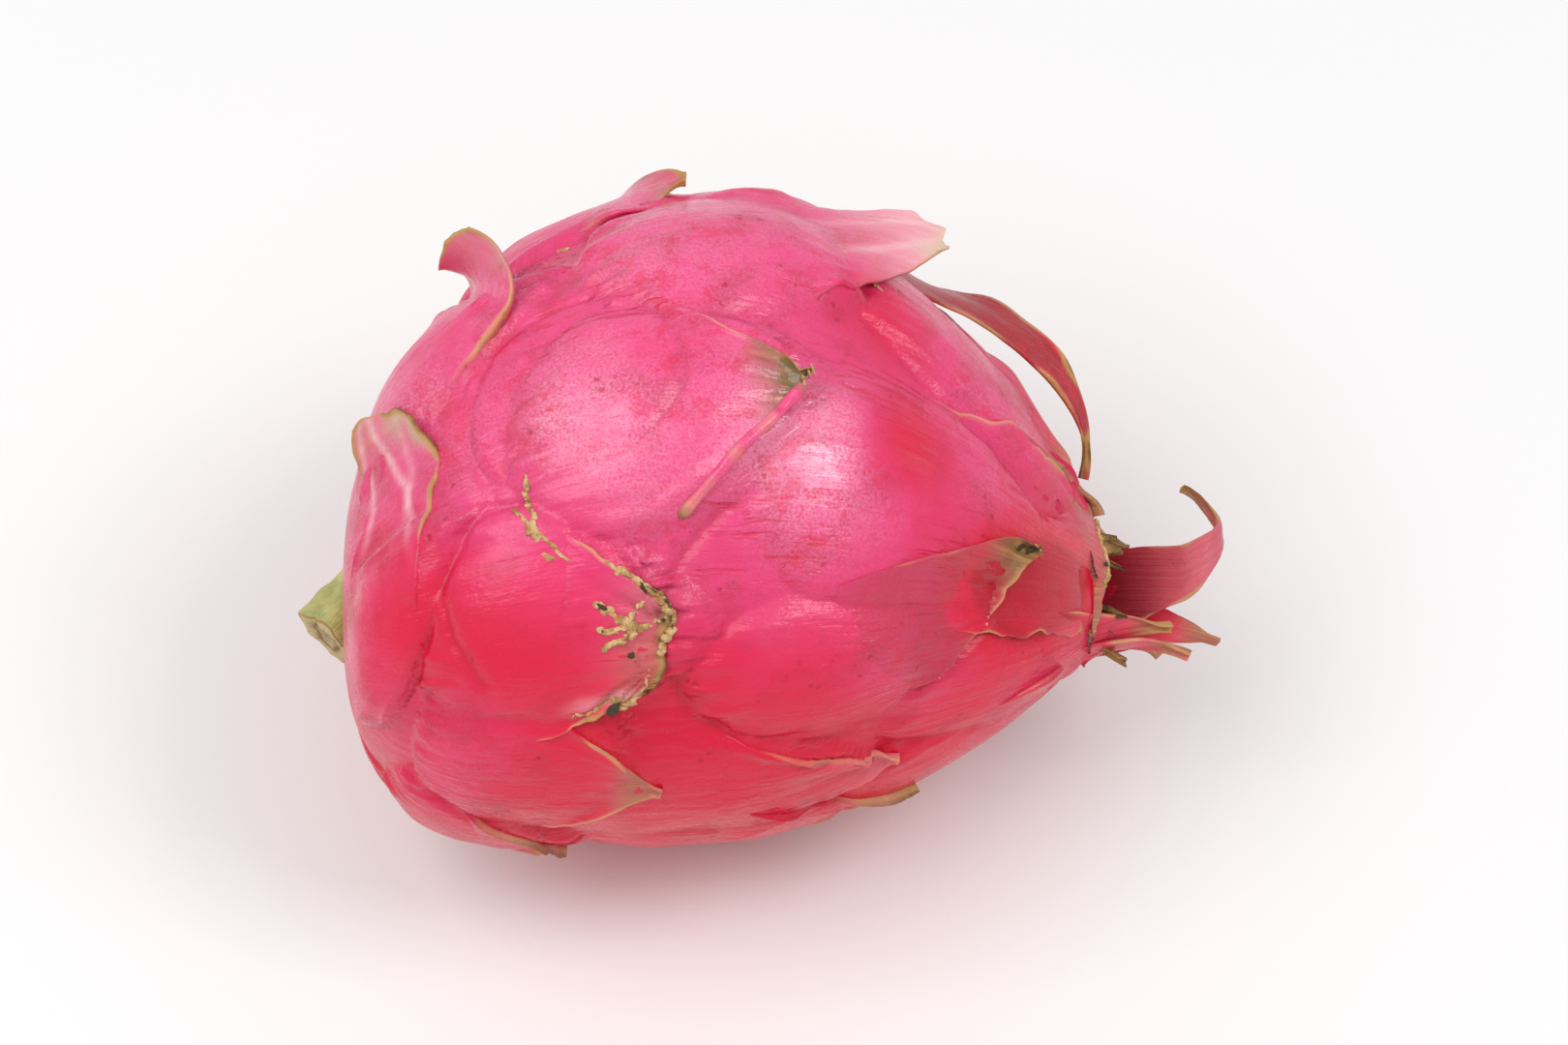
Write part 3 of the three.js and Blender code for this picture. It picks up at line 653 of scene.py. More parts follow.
# Where the rind is finely creased along the fruit, in the same terms.
CREASED = [
    (88, 38, 0.007, 1.0), (98, 40, 0.006, 0.9), (66, -6, 0.007, 0.8), (78, -4, 0.006, 0.9),
    (106, 6, 0.006, 1.0), (114, 8, 0.005, 0.8), (99, -9, 0.004, 0.7), (122, 38, 0.008, 0.7),
    (112, 60, 0.010, 0.8), (72, 62, 0.007, 0.7), (60, 88, 0.012, 0.7), (100, 100, 0.014, 0.7),
    (70, 160, 0.016, 0.7), (110, -60, 0.014, 0.8), (60, -90, 0.014, 0.7),
]

# Where it is glossy.
GLOSSY = [
    (101, 14, 0.0065, 1.3), (103, 24, 0.004, 1.0), (115, 19, 0.0035, 0.9), (73, 15, 0.004, 0.6),
    (76, 30, 0.004, 0.5),
]


def placed(spots):
    """The same spots, each with its middle as a point on the skin."""
    polar, turn = np.radians([spot[:2] for spot in spots]).T
    return [(middle, *spot[2:]) for middle, spot in zip(skin_point(polar, turn), spots)]


SKIN_SPOTS = {"tone_light_shade": placed(TONE_LIGHT_SHADE_SPOTS), "creased": placed(CREASED), "glossy": placed(GLOSSY)}


def spots_at(points):
    """The strength of each kind of soft-edged spot at points on the skin."""
    strengths = {name: np.zeros(len(points)) for name in SKIN_SPOTS}
    for name, spots in SKIN_SPOTS.items():
        for middle, radius, amount in spots:
            distance = np.linalg.norm(points - middle, axis=-1)
            strengths[name] += amount * np.exp(-(distance / radius) ** 2)
    return strengths


body, share, turn = round_piece("body", 512, 190, skin_finish)
points = body_point(share, turn)
points[:, 2] = np.maximum(points[:, 2], 0)
write_points(body.data, points)
polar = RIM_ANGLE * np.minimum(share / OUTSIDE_SHARE, 1)
flow = flow_of(polar, turn)
pucker, dome = relief(polar, turn)[1:]
dried = smoothstep(share, OUTSIDE_SHARE - 0.01, OUTSIDE_SHARE + 0.03) * 0.8
set_attributes(body, pucker=pucker, dome=dome, **spots_at(points), flow=flow, dried=dried)
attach(body, "root")
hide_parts("fruit")

# ---- Scales --------------------------------------------------------------------------------------
# Each scale is a fleshy blade grown out of its cushion, with a thin light margin. It lies on the
# skin, comes free towards its tip and dries there to a brown edge.

MARGIN_PROUD = 0.0011
PRESSED_PROUD = 0.00015
PRESSED_SUNK = 0.0009
FREE_HALF_THICKNESS = 0.0003
LOOSENED_BEFORE = 0.002
LOOSENED_AFTER = 0.004
ROOT_SUNK = 0.0006
ROOT_LENGTH = 0.008
NARROWEST = 0.0006
CORNER_SUNK = 0.0015
CUPPED = 0.0009
TIP_LENGTH = 0.008
LONG_TIPS = {13: 0.011, 21: 0.010}
HOOK_FROM = 0.62
# How brown, how pale and how green each tip is, and how dry its margin.
TIPS = {
    2: (0.2, 0.15, 0.9, 0.7), 5: (0.1, 0.2, 0.3, 0.6), 8: (0.3, 0.1, 0.2, 0.6),
    10: (0.3, 0.2, 0.0, 1.0), 13: (1.0, 0.2, 0.0, 0.5), 16: (0.0, 1.0, 0.6, 0.3),
    18: (0.0, 0.4, 0.0, 0.3), 19: (0.3, 0.0, 0.0, 0.9), 21: (0.9, 0.1, 0.0, 0.4),
    24: (0.3, 0.2, 0.0, 0.9), 28: (0.9, 0.35, 0.0, 0.6),
}
PLAIN_TIP = (0.6, 0.2, 0.3, 0.5)
# Pale ribs: where across the blade each starts and ends, and its strength.
RIBS = {
    2: [(1.6, -0.5, 1.0), (-0.9, -0.75, 0.7), (0.3, 0.4, 0.4)],
    10: [(0.6, 0.9, 0.6)],
    16: [(0.2, 0.5, 0.5), (-0.5, -0.3, 0.4)],
}
RIB_WIDTH = 0.09


def half_width(scale, share, across):
    """Half a blade's width at a share of its length, with wavering sides."""
    reached = share * (1 - scale["torn"])
    outline = (1 - reached ** scale["full"]) ** 1.15
    waist = 1 - scale["waist"] * smoothstep(reached, 0.15, 0.5)
    place, side = share * scale["length"], np.sign(across) * 7.3
    waver = 0.05 * noise(place / 0.007, side, scale["index"])
    waver += 0.03 * noise(place / 0.0025, side, scale["index"] + 9)
    width = scale["width"] * outline * waist * (1 + waver * smoothstep(share, 0.1, 0.4))
    return np.maximum(width, NARROWEST)


def midline(scale, distance):
    """Polar angle, turn and the skin's radius at a distance along a blade's middle."""
    polar = scale["polar"] + distance * math.cos(scale["sweep"]) / MERIDIAN_RADIUS
    radius = np.maximum(smooth_radius(np.minimum(polar, RIM_ANGLE)), 0.012)
    return polar, scale["turn"] + distance * math.sin(scale["sweep"]) / radius, radius


def turned(vectors, axis, angle):
    """vectors turned about a unit axis, all arrays of rows."""
    cos, sin = np.cos(angle)[..., None], np.sin(angle)[..., None]
    dot = np.sum(vectors * axis, axis=-1, keepdims=True)
    return vectors * cos + np.cross(axis, vectors) * sin + axis * dot * (1 - cos)


def beside_midline(scale, distance, side):
    """Polar angle and turn at a distance along a blade's middle and another to its side."""
    polar, turn, radius = midline(scale, distance)
    polar = polar - side * math.sin(scale["sweep"]) / MERIDIAN_RADIUS
    return np.maximum(polar, 0), turn + side * math.cos(scale["sweep"]) / radius


def free_points(scale, distance, side, lift):
    """Places on the free part of a blade, which leaves the skin as a bending strip."""
    polar, turn, radius = midline(scale, np.array([scale["free"] * scale["length"]]))
    polar = np.minimum(polar, RIM_ANGLE)
    origin = skin_point(polar, turn)[0]
    normal = smooth_normal(polar, turn)[0]
    meridian = unit(smooth_point(polar + 0.01, turn) - smooth_point(polar - 0.01, turn))
    tangent = turned(meridian, normal[None], np.array([-scale["sweep"]]))[0]
    sideways = np.cross(tangent, normal)
    free_length = scale["length"] * (1 - scale["free"])
    steps = 400
    reach = (np.arange(steps) + 0.5) / steps
    angles = (scale["lift"] * smoothstep(reach, 0, 0.25) + scale["curl"] * reach * reach
              + scale["hook"] * smoothstep(reach, HOOK_FROM, 1))
    ahead = np.cumsum(np.cos(angles)) * free_length / steps
    above = np.cumsum(np.sin(angles)) * free_length / steps
    place = distance / free_length
    ahead = np.interp(place, reach, ahead)
    above = np.interp(place, reach, above)
    angle = np.interp(place, reach, angles)
    point = origin + ahead[:, None] * tangent + above[:, None] * normal
    point += sideways * (scale["aside"] * smoothstep(place, HOOK_FROM, 1))[:, None]
    up = np.cos(angle)[:, None] * normal - np.sin(angle)[:, None] * tangent
    beside = np.broadcast_to(sideways, up.shape)
    heading = np.cross(up, beside)
    roll = scale["twist"] * smoothstep(place, 0, 0.8)
    beside = turned(beside, heading, roll)
    up = turned(up, heading, roll)
    bend = side / radius[0]
    across, above = np.sin(bend) * radius[0], (np.cos(bend) - 1) * radius[0] + lift
    return point + beside * across[:, None] + up * above[:, None]


def blade_points(scale, share, across, face):
    """Places on a blade's upper face or, where face is below 0, on its lower one."""
    torn = smoothstep(scale["torn"], 0, 0.2)
    jagged = 0.03 * noise(across * 1.8, 0 * across, scale["index"] + 30)
    jagged += 0.012 * noise(across * 7, 0 * across, 4)
    ragged = torn * (jagged + scale["slant"] * across - 0.05 * across * across)
    end = 1 + ragged * smoothstep(share, 0.3, 1)
    distance = share * scale["length"] * (1 - scale["torn"]) * end
    free_from = scale["free"] * scale["length"]
    side = across * half_width(scale, share, across)
    pressed = 1 - smoothstep(distance, free_from - LOOSENED_BEFORE, free_from + LOOSENED_AFTER)
    rooted = 1 - smoothstep(distance, 0, ROOT_LENGTH)
    margin = np.abs(across) ** 4 * (0.7 + 0.5 * noise(distance / 0.006, across, scale["index"] + 70))
    thick = 1 + (scale["thick"] - 1) * (across > 0)
    margin *= thick * (1 - 0.8 * np.minimum(thick - 1, 1) * np.abs(across) ** 20)
    cupped = CUPPED * noise(distance / 0.006, across * 1.5, scale["index"] + 60)
    cupped *= across ** 2 * (1 - pressed)
    cupped += scale["rolled"] * across ** 2 * smoothstep(share, 0.72, 0.98)
    cupped -= CORNER_SUNK * np.abs(across) ** 3 * (1 - smoothstep(share, 0.05, 0.4)) * pressed
    free = FREE_HALF_THICKNESS * (1 - pressed)
    proud = free + (PRESSED_PROUD + MARGIN_PROUD * margin) * pressed - ROOT_SUNK * rooted
    sunk = free + PRESSED_SUNK * pressed + ROOT_SUNK * rooted
    lift = np.where(face > 0, proud, -sunk) + cupped
    polar, turn = beside_midline(scale, np.minimum(distance, free_from + LOOSENED_AFTER), side)
    on_skin = skin_point(np.minimum(polar, RIM_ANGLE), turn, lift, 0.5)
    strip = free_points(scale, np.maximum(distance - free_from, 0), side, lift)
    loose = np.where(distance > free_from, 1 - pressed, 0)[:, None]
    return on_skin * (1 - loose) + strip * loose


for scale in scales:
    slab = bmesh.new()
    bmesh.ops.create_grid(slab, x_segments=60, y_segments=34, size=1)
    bmesh.ops.solidify(slab, geom=slab.faces[:], thickness=1)
    blade = mesh_piece(f"scale_{scale['index'] + 1:02d}", slab, skin_finish)
    flat = read_points(blade.data)
    share = 1 - ((1 - flat[:, 0]) / 2) ** 1.6
    across = np.sin(flat[:, 1] * math.pi / 2)
    points = blade_points(scale, share, across, flat[:, 2] - flat[:, 2].mean())
    points[:, 2] = np.maximum(points[:, 2], 0)
    write_points(blade.data, points)
    length = scale["length"] * (1 - scale["torn"])
    width = half_width(scale, share, across)
    from_edge = np.minimum((1 - np.abs(across)) * width, (1 - share) * length)
    polar, turn = beside_midline(scale, share * length, across * width)
    tip = LONG_TIPS.get(scale["index"], TIP_LENGTH)
    at_tip = smoothstep(share * length, length - tip, length - 0.4 * tip)
    brown, pale, green, dry = TIPS.get(scale["index"], PLAIN_TIP)
    spread = 0.4 + 0.6 * smoothstep(share, 0.4, 1)
    uneven = 0.7 + 0.6 * noise(share * length / 0.004, np.sign(across) * 3.1, scale["index"] + 20)
    faint = noise(share * length / 0.009, np.sign(across) * 5.7, scale["index"] + 40)
    faint = smoothstep(faint + share, -0.2, 0.9)
    strength = (0.4 + 0.6 * dry) * smoothstep(share, 0.05, 0.3) * uneven * faint
    dried_width = 0.0003 + 0.0011 * spread * dry
    dried = dry * spread * uneven * np.exp(-from_edge / dried_width)
    edge = np.exp(-from_edge / 0.0004) * strength
    set_attributes(blade, edge=edge, dried=dried, brown=brown * at_tip)
    pale = pale * smoothstep(share, 0.4, 1.0)
    for start, end, amount in RIBS.get(scale["index"], []):
        waver = 0.04 * noise(share * length / 0.003, 0 * share, start)
        off_rib = across - start - (end - start) * share + waver
        pale += amount * np.exp(-(off_rib / RIB_WIDTH) ** 2) * smoothstep(share, 0.3, 0.6)
    green = green * at_tip * np.exp(-from_edge / 0.004) * (0.65 + 0.65 * across)
    aged = scale["aged"] * smoothstep(share, 0.0, 0.35)
    pucker, dome = relief(np.minimum(polar, RIM_ANGLE), turn)[1:]
    set_attributes(blade, pale=pale, green=green, **spots_at(points), aged=aged,
                   flow=flow_of(polar, turn), pucker=pucker * 0.6, dome=dome)
    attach(blade, "root")
    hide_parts("fruit")


def blade_spots(index, share, across):
    """Places on a blade's upper face, and the way it faces there."""
    upper = blade_points(scales[index], share, across, np.ones_like(share))
    return upper, unit(upper - blade_points(scales[index], share, across, -np.ones_like(share)))


# One scale's lower margin is rolled up to a cord, which ends in a dry knob on the skin. The cord runs
# through these shares along and across the blade.
ROLL_SCALE = 13
ROLL_RADIUS = 0.00075
ROLL_STOPS = np.array([(0.07, 1.0), (0.30, 0.98), (0.58, 0.96), (0.80, 0.95), (0.93, 0.90)])

roll, along, turn = round_piece("rolled_margin", 20, 90, skin_finish)
stops = np.linspace(0, 1, len(ROLL_STOPS))
share, across = (np.interp(along, stops, ROLL_STOPS[:, axis]) for axis in (0, 1))
middle, normals = blade_spots(ROLL_SCALE, share, across)
middle += normals * (CORNER_SUNK * (1 - smoothstep(share, 0.05, 0.4)))[:, None]
side = unit(np.cross(blade_spots(ROLL_SCALE, share + 0.02, across)[0] - middle, normals))
thickness = ROLL_RADIUS * np.sqrt(np.maximum(1 - (2 * along - 1) ** 10, 0))
thickness *= 1 + 0.3 * noise(along * 9, 0 * along, 4)
thickness *= 1 + 0.5 * np.exp(-(along / 0.09) ** 2)
beside, above = thickness * np.cos(turn), thickness * np.sin(turn)
write_points(roll.data, middle + side * beside[:, None] + normals * above[:, None])
scale = scales[ROLL_SCALE]
side = across * half_width(scale, share, across)
flow = flow_of(*beside_midline(scale, share * scale["length"], side))
edge = 0.2 + 0.35 * np.exp(-(along / 0.15) ** 2) + 0.15 * noise(along * 14, 0 * along, 8)
brown = 0.8 * np.exp(-(along / 0.06) ** 2) + 0.5 * smoothstep(along, 0.8, 1)
set_attributes(roll, flow=flow, dome=np.full_like(along, 0.6), edge=edge, brown=brown)
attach(roll, "root")
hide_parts("fruit")

# ---- Dried crusts --------------------------------------------------------------------------------
# Where a scale tore or rubbed while the fruit grew, the rind healed over as brown, flaky cork. The
# flakes sit along torn margins and in a few scabs on the skin, and near-black flakes among them are
# painted shade in their hollows.

FLAKE_COLOUR = (0.36, 0.19, 0.05, 1)
FLAKE_LIGHT = (0.70, 0.46, 0.22, 1)
# Near-black painted shade for the flakes in the hollows.
HOLLOW_SHADE_BROWN = (0.05, 0.035, 0.012, 1)
crust_finish, tree, shader = new_finish("dried crust")
place = add_node(tree, "ShaderNodeTexCoord").outputs["Object"]
blotches = grain(tree, place, 600, 4, 0.6)
colour = mix_colour(tree, between(tree, blotches, 0.35, 0.6), FLAKE_COLOUR, FLAKE_LIGHT)
dried = let_dry(tree, colour, between(tree, grain(tree, place, 330, 3), 0.45, 0.85), blotches)
# Flakes in the hollows take a near-black painted shade.
colour = mix_colour(tree, attribute(tree, "dark"), dried["Colour"], HOLLOW_SHADE_BROWN)
tree.links.new(colour, shader.inputs["Base Color"])
cracks = plus(tree, dried["Height"], times(tree, blotches, 0.0006))
raise_bumps(tree, shader, cracks, 0.9)
shader.inputs["Roughness"].default_value = 0.75

# Cords of cork, each as its half width in millimetres and the places it runs through, as degrees from
# the stalk's pole and degrees of turn. Those that name a scale use shares along and across its blade.
SKIN_CORDS = [
    (0.45, (59.2, 23.4), (59.2, 27.4), (60.4, 30.6), (61.0, 34.2)),
    (0.35, (57.4, 29.0), (59.5, 31.8), (61.0, 34.2)), (0.75, (60.6, 33.4), (61.3, 35.0)),
    (0.26, (61.8, 34.6), (63.9, 37.4), (65.7, 39.8), (68.0, 41.4), (71.0, 42.6)),
    (0.40, (62.8, 38.3), (63.3, 38.9)), (0.45, (62.8, -36.9), (63.3, -36.2)),
    (0.22, (109.3, 51.5), (109.7, 48.8)), (0.30, (109.4, -23.2), (109.8, -22.6)),
]
BLADE_CORDS = [
    (10, 0.45, (0.55, -0.97), (0.75, -0.97), (0.93, -0.95)),
    (10, 0.55, (0.93, -0.95), (1.0, -0.75), (0.99, -0.40)),
    (10, 0.58, (0.76, -0.30), (0.64, -0.40), (0.50, -0.50)),
    (10, 0.52, (0.76, -0.30), (0.64, -0.24), (0.55, -0.21)),
    (10, 0.58, (0.76, -0.30), (0.72, -0.15), (0.60, 0.00)),
    (10, 0.46, (0.76, -0.30), (0.74, -0.50), (0.79, -0.72)),
    (10, 0.62, (0.76, -0.30), (0.86, -0.38), (0.93, -0.55)),
    (10, 0.22, (0.89, 0.45), (0.90, 0.75), (0.89, 0.96)),
    (10, 0.36, (0.89, 0.96), (0.78, 0.88), (0.68, 0.80), (0.63, 0.90)),
    (10, 0.34, (0.90, 0.97), (0.84, 1.0), (0.72, 1.0)), (10, 0.45, (0.58, 0.90), (0.47, 0.84)),
    (10, 0.70, (0.98, -0.40), (0.97, 0.10)),
    (24, 0.34, (1.0, -0.95), (1.0, -0.36), (0.99, 0.23), (0.94, 0.43), (0.89, 0.61)),
    (21, 0.30, (0.97, -0.9), (0.99, 0.6)), (13, 0.30, (0.90, 0.95), (0.97, 0.9), (1.0, 0.2)),
]
# Near-black flakes of painted shade in the crust's hollows, with the scale they lie on, where along
# and across it, their radius in millimetres and their length over it.
SHADED_HOLLOWS = [
    (10, 0.53, -0.48, 0.30, 2.4), (10, 0.56, -0.21, 0.20, 1.0), (10, 0.78, 0.09, 0.45, 1.1),
    (10, 0.74, 0.93, 0.75, 1.5), (10, 0.93, -0.53, 0.25, 1.4), (10, 0.80, -0.92, 0.30, 3.0),
    (24, 0.97, -0.1, 0.30, 1.5), (13, 0.93, 0.35, 0.45, 2.2), (21, 0.95, 0.0, 0.50, 2.0),
    (21, 0.90, -0.4, 0.30, 3.0), (28, 0.80, 0.0, 0.60, 2.0),
]
FLAKE_LENGTH = 0.0011
CRUST_SEED = 11
crust_draw = np.random.default_rng(CRUST_SEED)
crust = bmesh.new()
dark_flakes = []


def add_flake(spot, ahead, normal, length, width, height, dark=0.0):
    """A lumpy, flattened flake that lies on the skin, with its long side towards ahead."""
    flake = bmesh.ops.create_icosphere(crust, subdivisions=3, radius=1)["verts"]
    ahead = ahead - normal * np.dot(ahead, normal)
    frame_of_flake = np.stack([ahead, np.cross(normal, ahead), normal], axis=1)
    place = Matrix(frame_of_flake @ np.diag([length, width, height]))
    for vert in flake:
        lumpy = 1 + 0.55 * mathutils.noise.noise(vert.co * 1.6 + Vector(spot) * 900)
        vert.co = place @ (vert.co * lumpy) + Vector(spot)
    dark_flakes.extend([dark] * len(flake))


def add_cord(radius, spots, normals):
    """Overlapping flakes along a line of close places on the skin."""
    reach = np.concatenate([[0], np.cumsum(np.linalg.norm(np.diff(spots, axis=0), axis=1))])
    count = max(3, int(reach[-1] / (0.5 * FLAKE_LENGTH)))
    for step in np.linspace(0, 1, count):
        here = int(np.clip(np.searchsorted(reach, step * reach[-1]), 1, len(spots) - 1))
        step_on = spots[here] - spots[here - 1]
        ahead = unit(step_on + crust_draw.normal(0, 0.35, 3) * np.linalg.norm(step_on))
        width = radius * crust_draw.uniform(0.55, 1.15)
        aside = np.cross(normals[here], ahead) * radius * crust_draw.normal(0, 0.35)
        length = FLAKE_LENGTH * crust_draw.uniform(0.5, 0.95)
        add_flake(spots[here] + aside, ahead, normals[here], length, width, 0.5 * width)


def dense(stops):
    """Both coordinates of a line through stops, at many even steps."""
    steps = np.linspace(0, len(stops) - 1, 16 * len(stops))
    numbers = np.arange(len(stops))
    return [np.interp(steps, numbers, [stop[axis] for stop in stops]) for axis in (0, 1)]


for width, *stops in SKIN_CORDS:
    polar, turn = dense(stops)
    polar, turn = np.radians(polar), np.radians(turn)
    add_cord(width / 1000, skin_point(polar, turn), smooth_normal(polar, turn))
for index, width, *stops in BLADE_CORDS:
    add_cord(width / 1000, *blade_spots(index, *dense(stops)))
for index, share, across, radius, stretch in SHADED_HOLLOWS:
    spots, normals = blade_spots(index, np.array([share]), np.array([across]))
    radius = radius / 1000
    ahead = unit(skin_point(*beside_midline(scales[index], np.array([0.02]), 0.0))[0] - spots[0])
    spot = spots[0] + normals[0] * radius
    add_flake(spot, ahead, normals[0], radius * stretch, radius, 0.35 * radius, 1.0)
crusts = mesh_piece("crusts", crust, crust_finish)
set_attributes(crusts, dark=np.array(dark_flakes))
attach(crusts, "root")
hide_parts("fruit")

# ---- Stalk ---------------------------------------------------------------------------------------
# The stub of the cactus stem that carried the fruit, green and three-ribbed, cut off short. The cut
# shows pale fibrous wood, browned by the air.

STALK_RADIUS = 0.0052
STALK_LENGTH = 0.0088
STALK_SUNK = 0.004
STALK_RIBS = 3
STALK_RIB_HEIGHT = 0.0007
STALK_WAY = unit(np.array([-0.8, -0.9, -0.15]))
STEM_GREEN = (0.36, 0.42, 0.10, 1)
STEM_YELLOW = (0.60, 0.58, 0.20, 1)
CUT_WOOD = (0.62, 0.50, 0.26, 1)
CUT_RING = (0.30, 0.17, 0.07, 1)

stalk_finish, tree, shader = new_finish("stalk")
place = add_node(tree, "ShaderNodeTexCoord").outputs["Object"]
flow = attribute(tree, "flow", "Vector")
blotches = grain(tree, place, 260, 4, 0.6)
fibre = place_group(tree, fibres, {"Flow": flow, "Place": place, "Depth": 0.0005})
green = mix_colour(tree, between(tree, blotches, 0.35, 0.65), STEM_GREEN, STEM_YELLOW)
woody = times(tree, between(tree, fibre["Streaks"], 0.5, 0.7), 0.4)
green = mix_colour(tree, woody, green, CUT_WOOD)
wood = mix_colour(tree, attribute(tree, "ring"), CUT_WOOD, CUT_RING)
colour = mix_colour(tree, attribute(tree, "cut"), green, wood)
dried = let_dry(tree, colour, attribute(tree, "dried"), blotches)
tree.links.new(dried["Colour"], shader.inputs["Base Color"])
raise_bumps(tree, shader, plus(tree, fibre["Height"], dried["Height"]), 0.9)
rough = {"Value": attribute(tree, "cut"), "To Min": 0.45, "To Max": 0.85}
rough = add_node(tree, "ShaderNodeMapRange", rough).outputs["Result"]
tree.links.new(rough, shader.inputs["Roughness"])

stalk, share, turn = round_piece("stalk_stub", 96, 64, stalk_finish)
stalk_length = STALK_SUNK + STALK_LENGTH
# The first and the last quarter of the rings are the hidden bottom and the cut, flat but for the rim.
stops = [0, 0.2, 0.25, 0.72, 0.76, 1]
below_cut = stalk_length - 0.0005
along = np.interp(share, stops, [0, 0, 0.0006, below_cut, stalk_length, below_cut])
radius = np.interp(share, stops, [0, 0.93, 1, 1, 0.92, 0]) * STALK_RADIUS
beyond = smoothstep(along, STALK_SUNK, STALK_SUNK + 0.003)
ribbed = (STALK_RIB_HEIGHT * np.cos(STALK_RIBS * turn) - 0.0003) / STALK_RADIUS
radius = radius * (1 + beyond * ribbed)
radius = radius * (1 + 0.04 * beyond * noise(turn * 3, along / 0.002, 5) * (share < 0.74))
sawn = noise(radius / 0.0012 * np.cos(turn), radius / 0.0012 * np.sin(turn), 8)
along = along + 0.0004 * sawn * (share > 0.7)
seat = on_centre_line(np.array(-HALF_LENGTH + DIMPLE_DEPTH), np.array(0.0), np.array(0.0))
side = unit(np.cross(STALK_WAY, [0, 0, 1]))
up = np.cross(side, STALK_WAY)
points = seat + (along - STALK_SUNK)[:, None] * STALK_WAY
points += (radius * np.cos(turn))[:, None] * side + (radius * np.sin(turn))[:, None] * up
write_points(stalk.data, points)
ring = np.exp(-((radius / STALK_RADIUS - 0.45) / 0.09) ** 2) * (share > 0.74)
browned = 0.6 * np.exp(-((share - 0.75) / 0.02) ** 2)
around = 6000 * STALK_RADIUS
flow = np.stack([around * np.cos(turn), around * np.sin(turn), along * 150], axis=-1)
set_attributes(stalk, cut=smoothstep(share, 0.735, 0.765), ring=ring, dried=browned, flow=flow)
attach(stalk, "root")
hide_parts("stalk")

# ---- Withered flower -----------------------------------------------------------------------------
# What is left of the flower stands in the crater: a fluted papery tube, broken off ragged, and the
# curled strips of its petals round it. All of it has dried brown.

REMAINS_FLUTES = 9
FLUTE_DEPTH = 0.0009
TUBE_LENGTH = 0.012
TUBE_SEAT_GAP = 0.00035
# The tube's section as millimetres along it and out from its middle.
REMAINS_PROFILE = [(0, 0), (0, 4.4), (4, 5.4), (8, 6.1), (12, 6.6), (12.6, 5.6), (10, 4), (8, 0)]
STRAW = (0.50, 0.32, 0.13, 1)
UMBER = (0.16, 0.075, 0.03, 1)

flower_finish, tree, shader = new_finish("withered flower")
place = add_node(tree, "ShaderNodeTexCoord").outputs["Object"]
flow = attribute(tree, "flow", "Vector")
blotches = grain(tree, place, 320, 4, 0.6)
fibre = place_group(tree, fibres, {"Flow": flow, "Place": place, "Depth": 0.0009})
colour = mix_colour(tree, between(tree, fibre["Streaks"], 0.35, 0.65), UMBER, STRAW)
dried = let_dry(tree, colour, attribute(tree, "dried"), blotches)
tree.links.new(dried["Colour"], shader.inputs["Base Color"])
raise_bumps(tree, shader, plus(tree, fibre["Height"], dried["Height"]), 1.0)
shader.inputs["Roughness"].default_value = 0.85

tube, share, turn = round_piece("flower_tube", REMAINS_FLUTES * 24, 96, flower_finish)
stops = np.linspace(0, 1, len(REMAINS_PROFILE))
along = np.interp(share, stops, [stop[0] / 1000 for stop in REMAINS_PROFILE])
radius = np.interp(share, stops, [stop[1] / 1000 for stop in REMAINS_PROFILE])
strength = along / TUBE_LENGTH * np.minimum(radius / 0.004, 1)
flutes = FLUTE_DEPTH * np.cos(REMAINS_FLUTES * turn + 2 * along / TUBE_LENGTH)
radius = radius + strength * (flutes + 0.0004 * noise(turn * 9, along / 0.003, 2))
along = along + strength * (0.0012 * np.cos(4 * turn + 1) + 0.0012 * noise(turn * 7, 0 * turn, 6))
floor_along = -HALF_LENGTH * math.cos(RIM_ANGLE) - CRATER_DEPTH + TUBE_SEAT_GAP
write_points(tube.data, on_centre_line(floor_along + along, radius, turn))
around = 60 * radius / 0.009
flow = np.stack([around * np.cos(turn), around * np.sin(turn), along * 200], axis=-1)
set_attributes(tube, flow=flow, dried=smoothstep(along, 0.009, 0.013) * 0.6)
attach(tube, "root")
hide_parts("flower_remains")

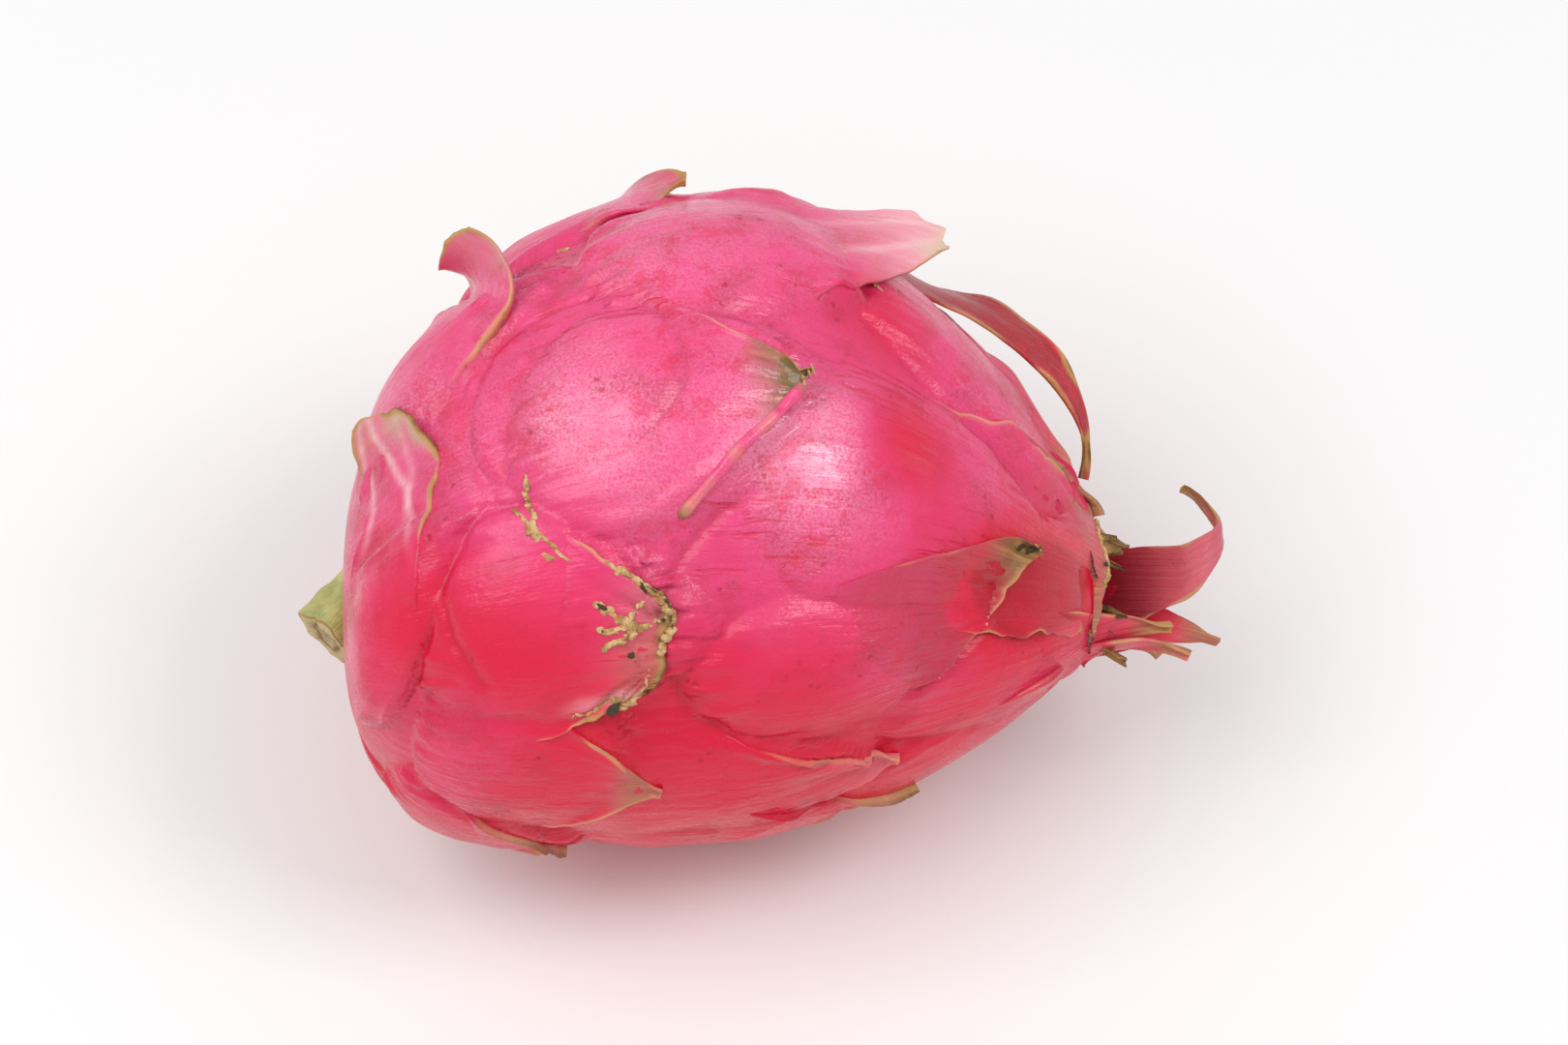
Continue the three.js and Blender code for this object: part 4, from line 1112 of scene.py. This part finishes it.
PETAL_COUNT = 16
PETAL_RING = 0.0068
PETAL_FLARE = 0.006
PETAL_REACH = 0.0095
PETAL_RAISED = 0.003
PETAL_SEED = 5
petal_draw = np.random.default_rng(PETAL_SEED)
for number in range(PETAL_COUNT):
    strip = bmesh.new()
    bmesh.ops.create_grid(strip, x_segments=26, y_segments=10, size=1)
    bmesh.ops.solidify(strip, geom=strip.faces[:], thickness=0.1)
    petal = mesh_piece(f"petal_{number + 1:02d}", strip, flower_finish)
    flat = read_points(petal.data)
    share, across = (flat[:, 0] + 1) / 2, flat[:, 1]
    length = petal_draw.uniform(0.008, 0.015)
    width = petal_draw.uniform(0.0012, 0.0024)
    flare = petal_draw.uniform(-0.2, 0.5)
    middle = 2 * math.pi * (number + petal_draw.uniform(-0.3, 0.3)) / PETAL_COUNT
    curl = petal_draw.uniform(-0.004, 0.004)
    side = across * width * (1 - 0.7 * share ** 2)
    side *= 1 + 0.2 * noise(share * 5, np.sign(across), number)
    ragged = 0.15 * across * across * (1 + noise(across * 3, 0 * across, number))
    along = share * length * (1 - ragged)
    ring = PETAL_RING + flare * share ** 2 * PETAL_FLARE
    ring = ring + 0.0006 * noise(share * 4, across * 2, number + 40)
    ring = ring + (flat[:, 2] - flat[:, 2].mean()) * 0.003 + 0.0008 * across * across
    turn = middle + (side + curl * share ** 2) / PETAL_REACH
    write_points(petal.data, on_centre_line(floor_along + PETAL_RAISED + along, ring, turn))
    flow = np.stack([side * 9000, 0 * side, share * length * 300], axis=-1)
    set_attributes(petal, flow=flow, dried=smoothstep(share, 0.6, 1.0) * 0.8)
    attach(petal, "root")
    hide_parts("flower_remains")

# ---- Studio --------------------------------------------------------------------------------------
# A plain pale floor, two soft lights from above and a white sky, and a camera that looks down on
# the fruit from the front.

FLOOR_WHITE = (0.885, 0.885, 0.885, 1)
floor_finish, tree, shader = new_finish("pale floor")
shader.inputs["Base Color"].default_value = FLOOR_WHITE
shader.inputs["Roughness"].default_value = 0.6
floor_sheet = bmesh.new()
bmesh.ops.create_grid(floor_sheet, x_segments=1, y_segments=1, size=4)
floor = mesh_piece("floor", floor_sheet, floor_finish)


def softbox(name, place, size, power):
    """A square light that faces the fruit."""
    light = bpy.data.lights.new(name, "AREA")
    light.energy = power
    light.size = size
    lamp = bpy.data.objects.new(name, light)
    lamp.location = place
    lamp.rotation_euler = (Vector(CENTRE) - lamp.location).to_track_quat("-Z", "Y").to_euler()
    bpy.context.scene.collection.objects.link(lamp)


softbox("window", (0.72, -0.22, 1.20), 0.5, 5.4)
softbox("fill", (-0.50, -0.22, 0.95), 0.7, 4.75)
sky = bpy.data.worlds.new("sky")
sky.use_nodes = True
background = sky.node_tree.nodes["Background"].inputs
background["Color"].default_value = (1, 1, 1, 1)
background["Strength"].default_value = 0.62
bpy.context.scene.world = sky
bpy.context.scene.view_settings.view_transform = "Standard"

VIEW_AZIMUTH = math.radians(0.85)
VIEW_ELEVATION = math.radians(54.9)
VIEW_DISTANCE = 0.628
VIEW_AIM = Vector((0.0105, 0.0, 0.046))
camera = bpy.data.objects.new("camera", bpy.data.cameras.new("camera"))
camera.data.lens = 100
camera.data.sensor_width = 36
level = math.cos(VIEW_ELEVATION)
way = (math.sin(VIEW_AZIMUTH) * level, -math.cos(VIEW_AZIMUTH) * level, math.sin(VIEW_ELEVATION))
camera.location = Vector(CENTRE) + Vector(way) * VIEW_DISTANCE
camera.rotation_euler = (VIEW_AIM - camera.location).to_track_quat("-Z", "Y").to_euler()
bpy.context.scene.collection.objects.link(camera)
bpy.context.scene.camera = camera
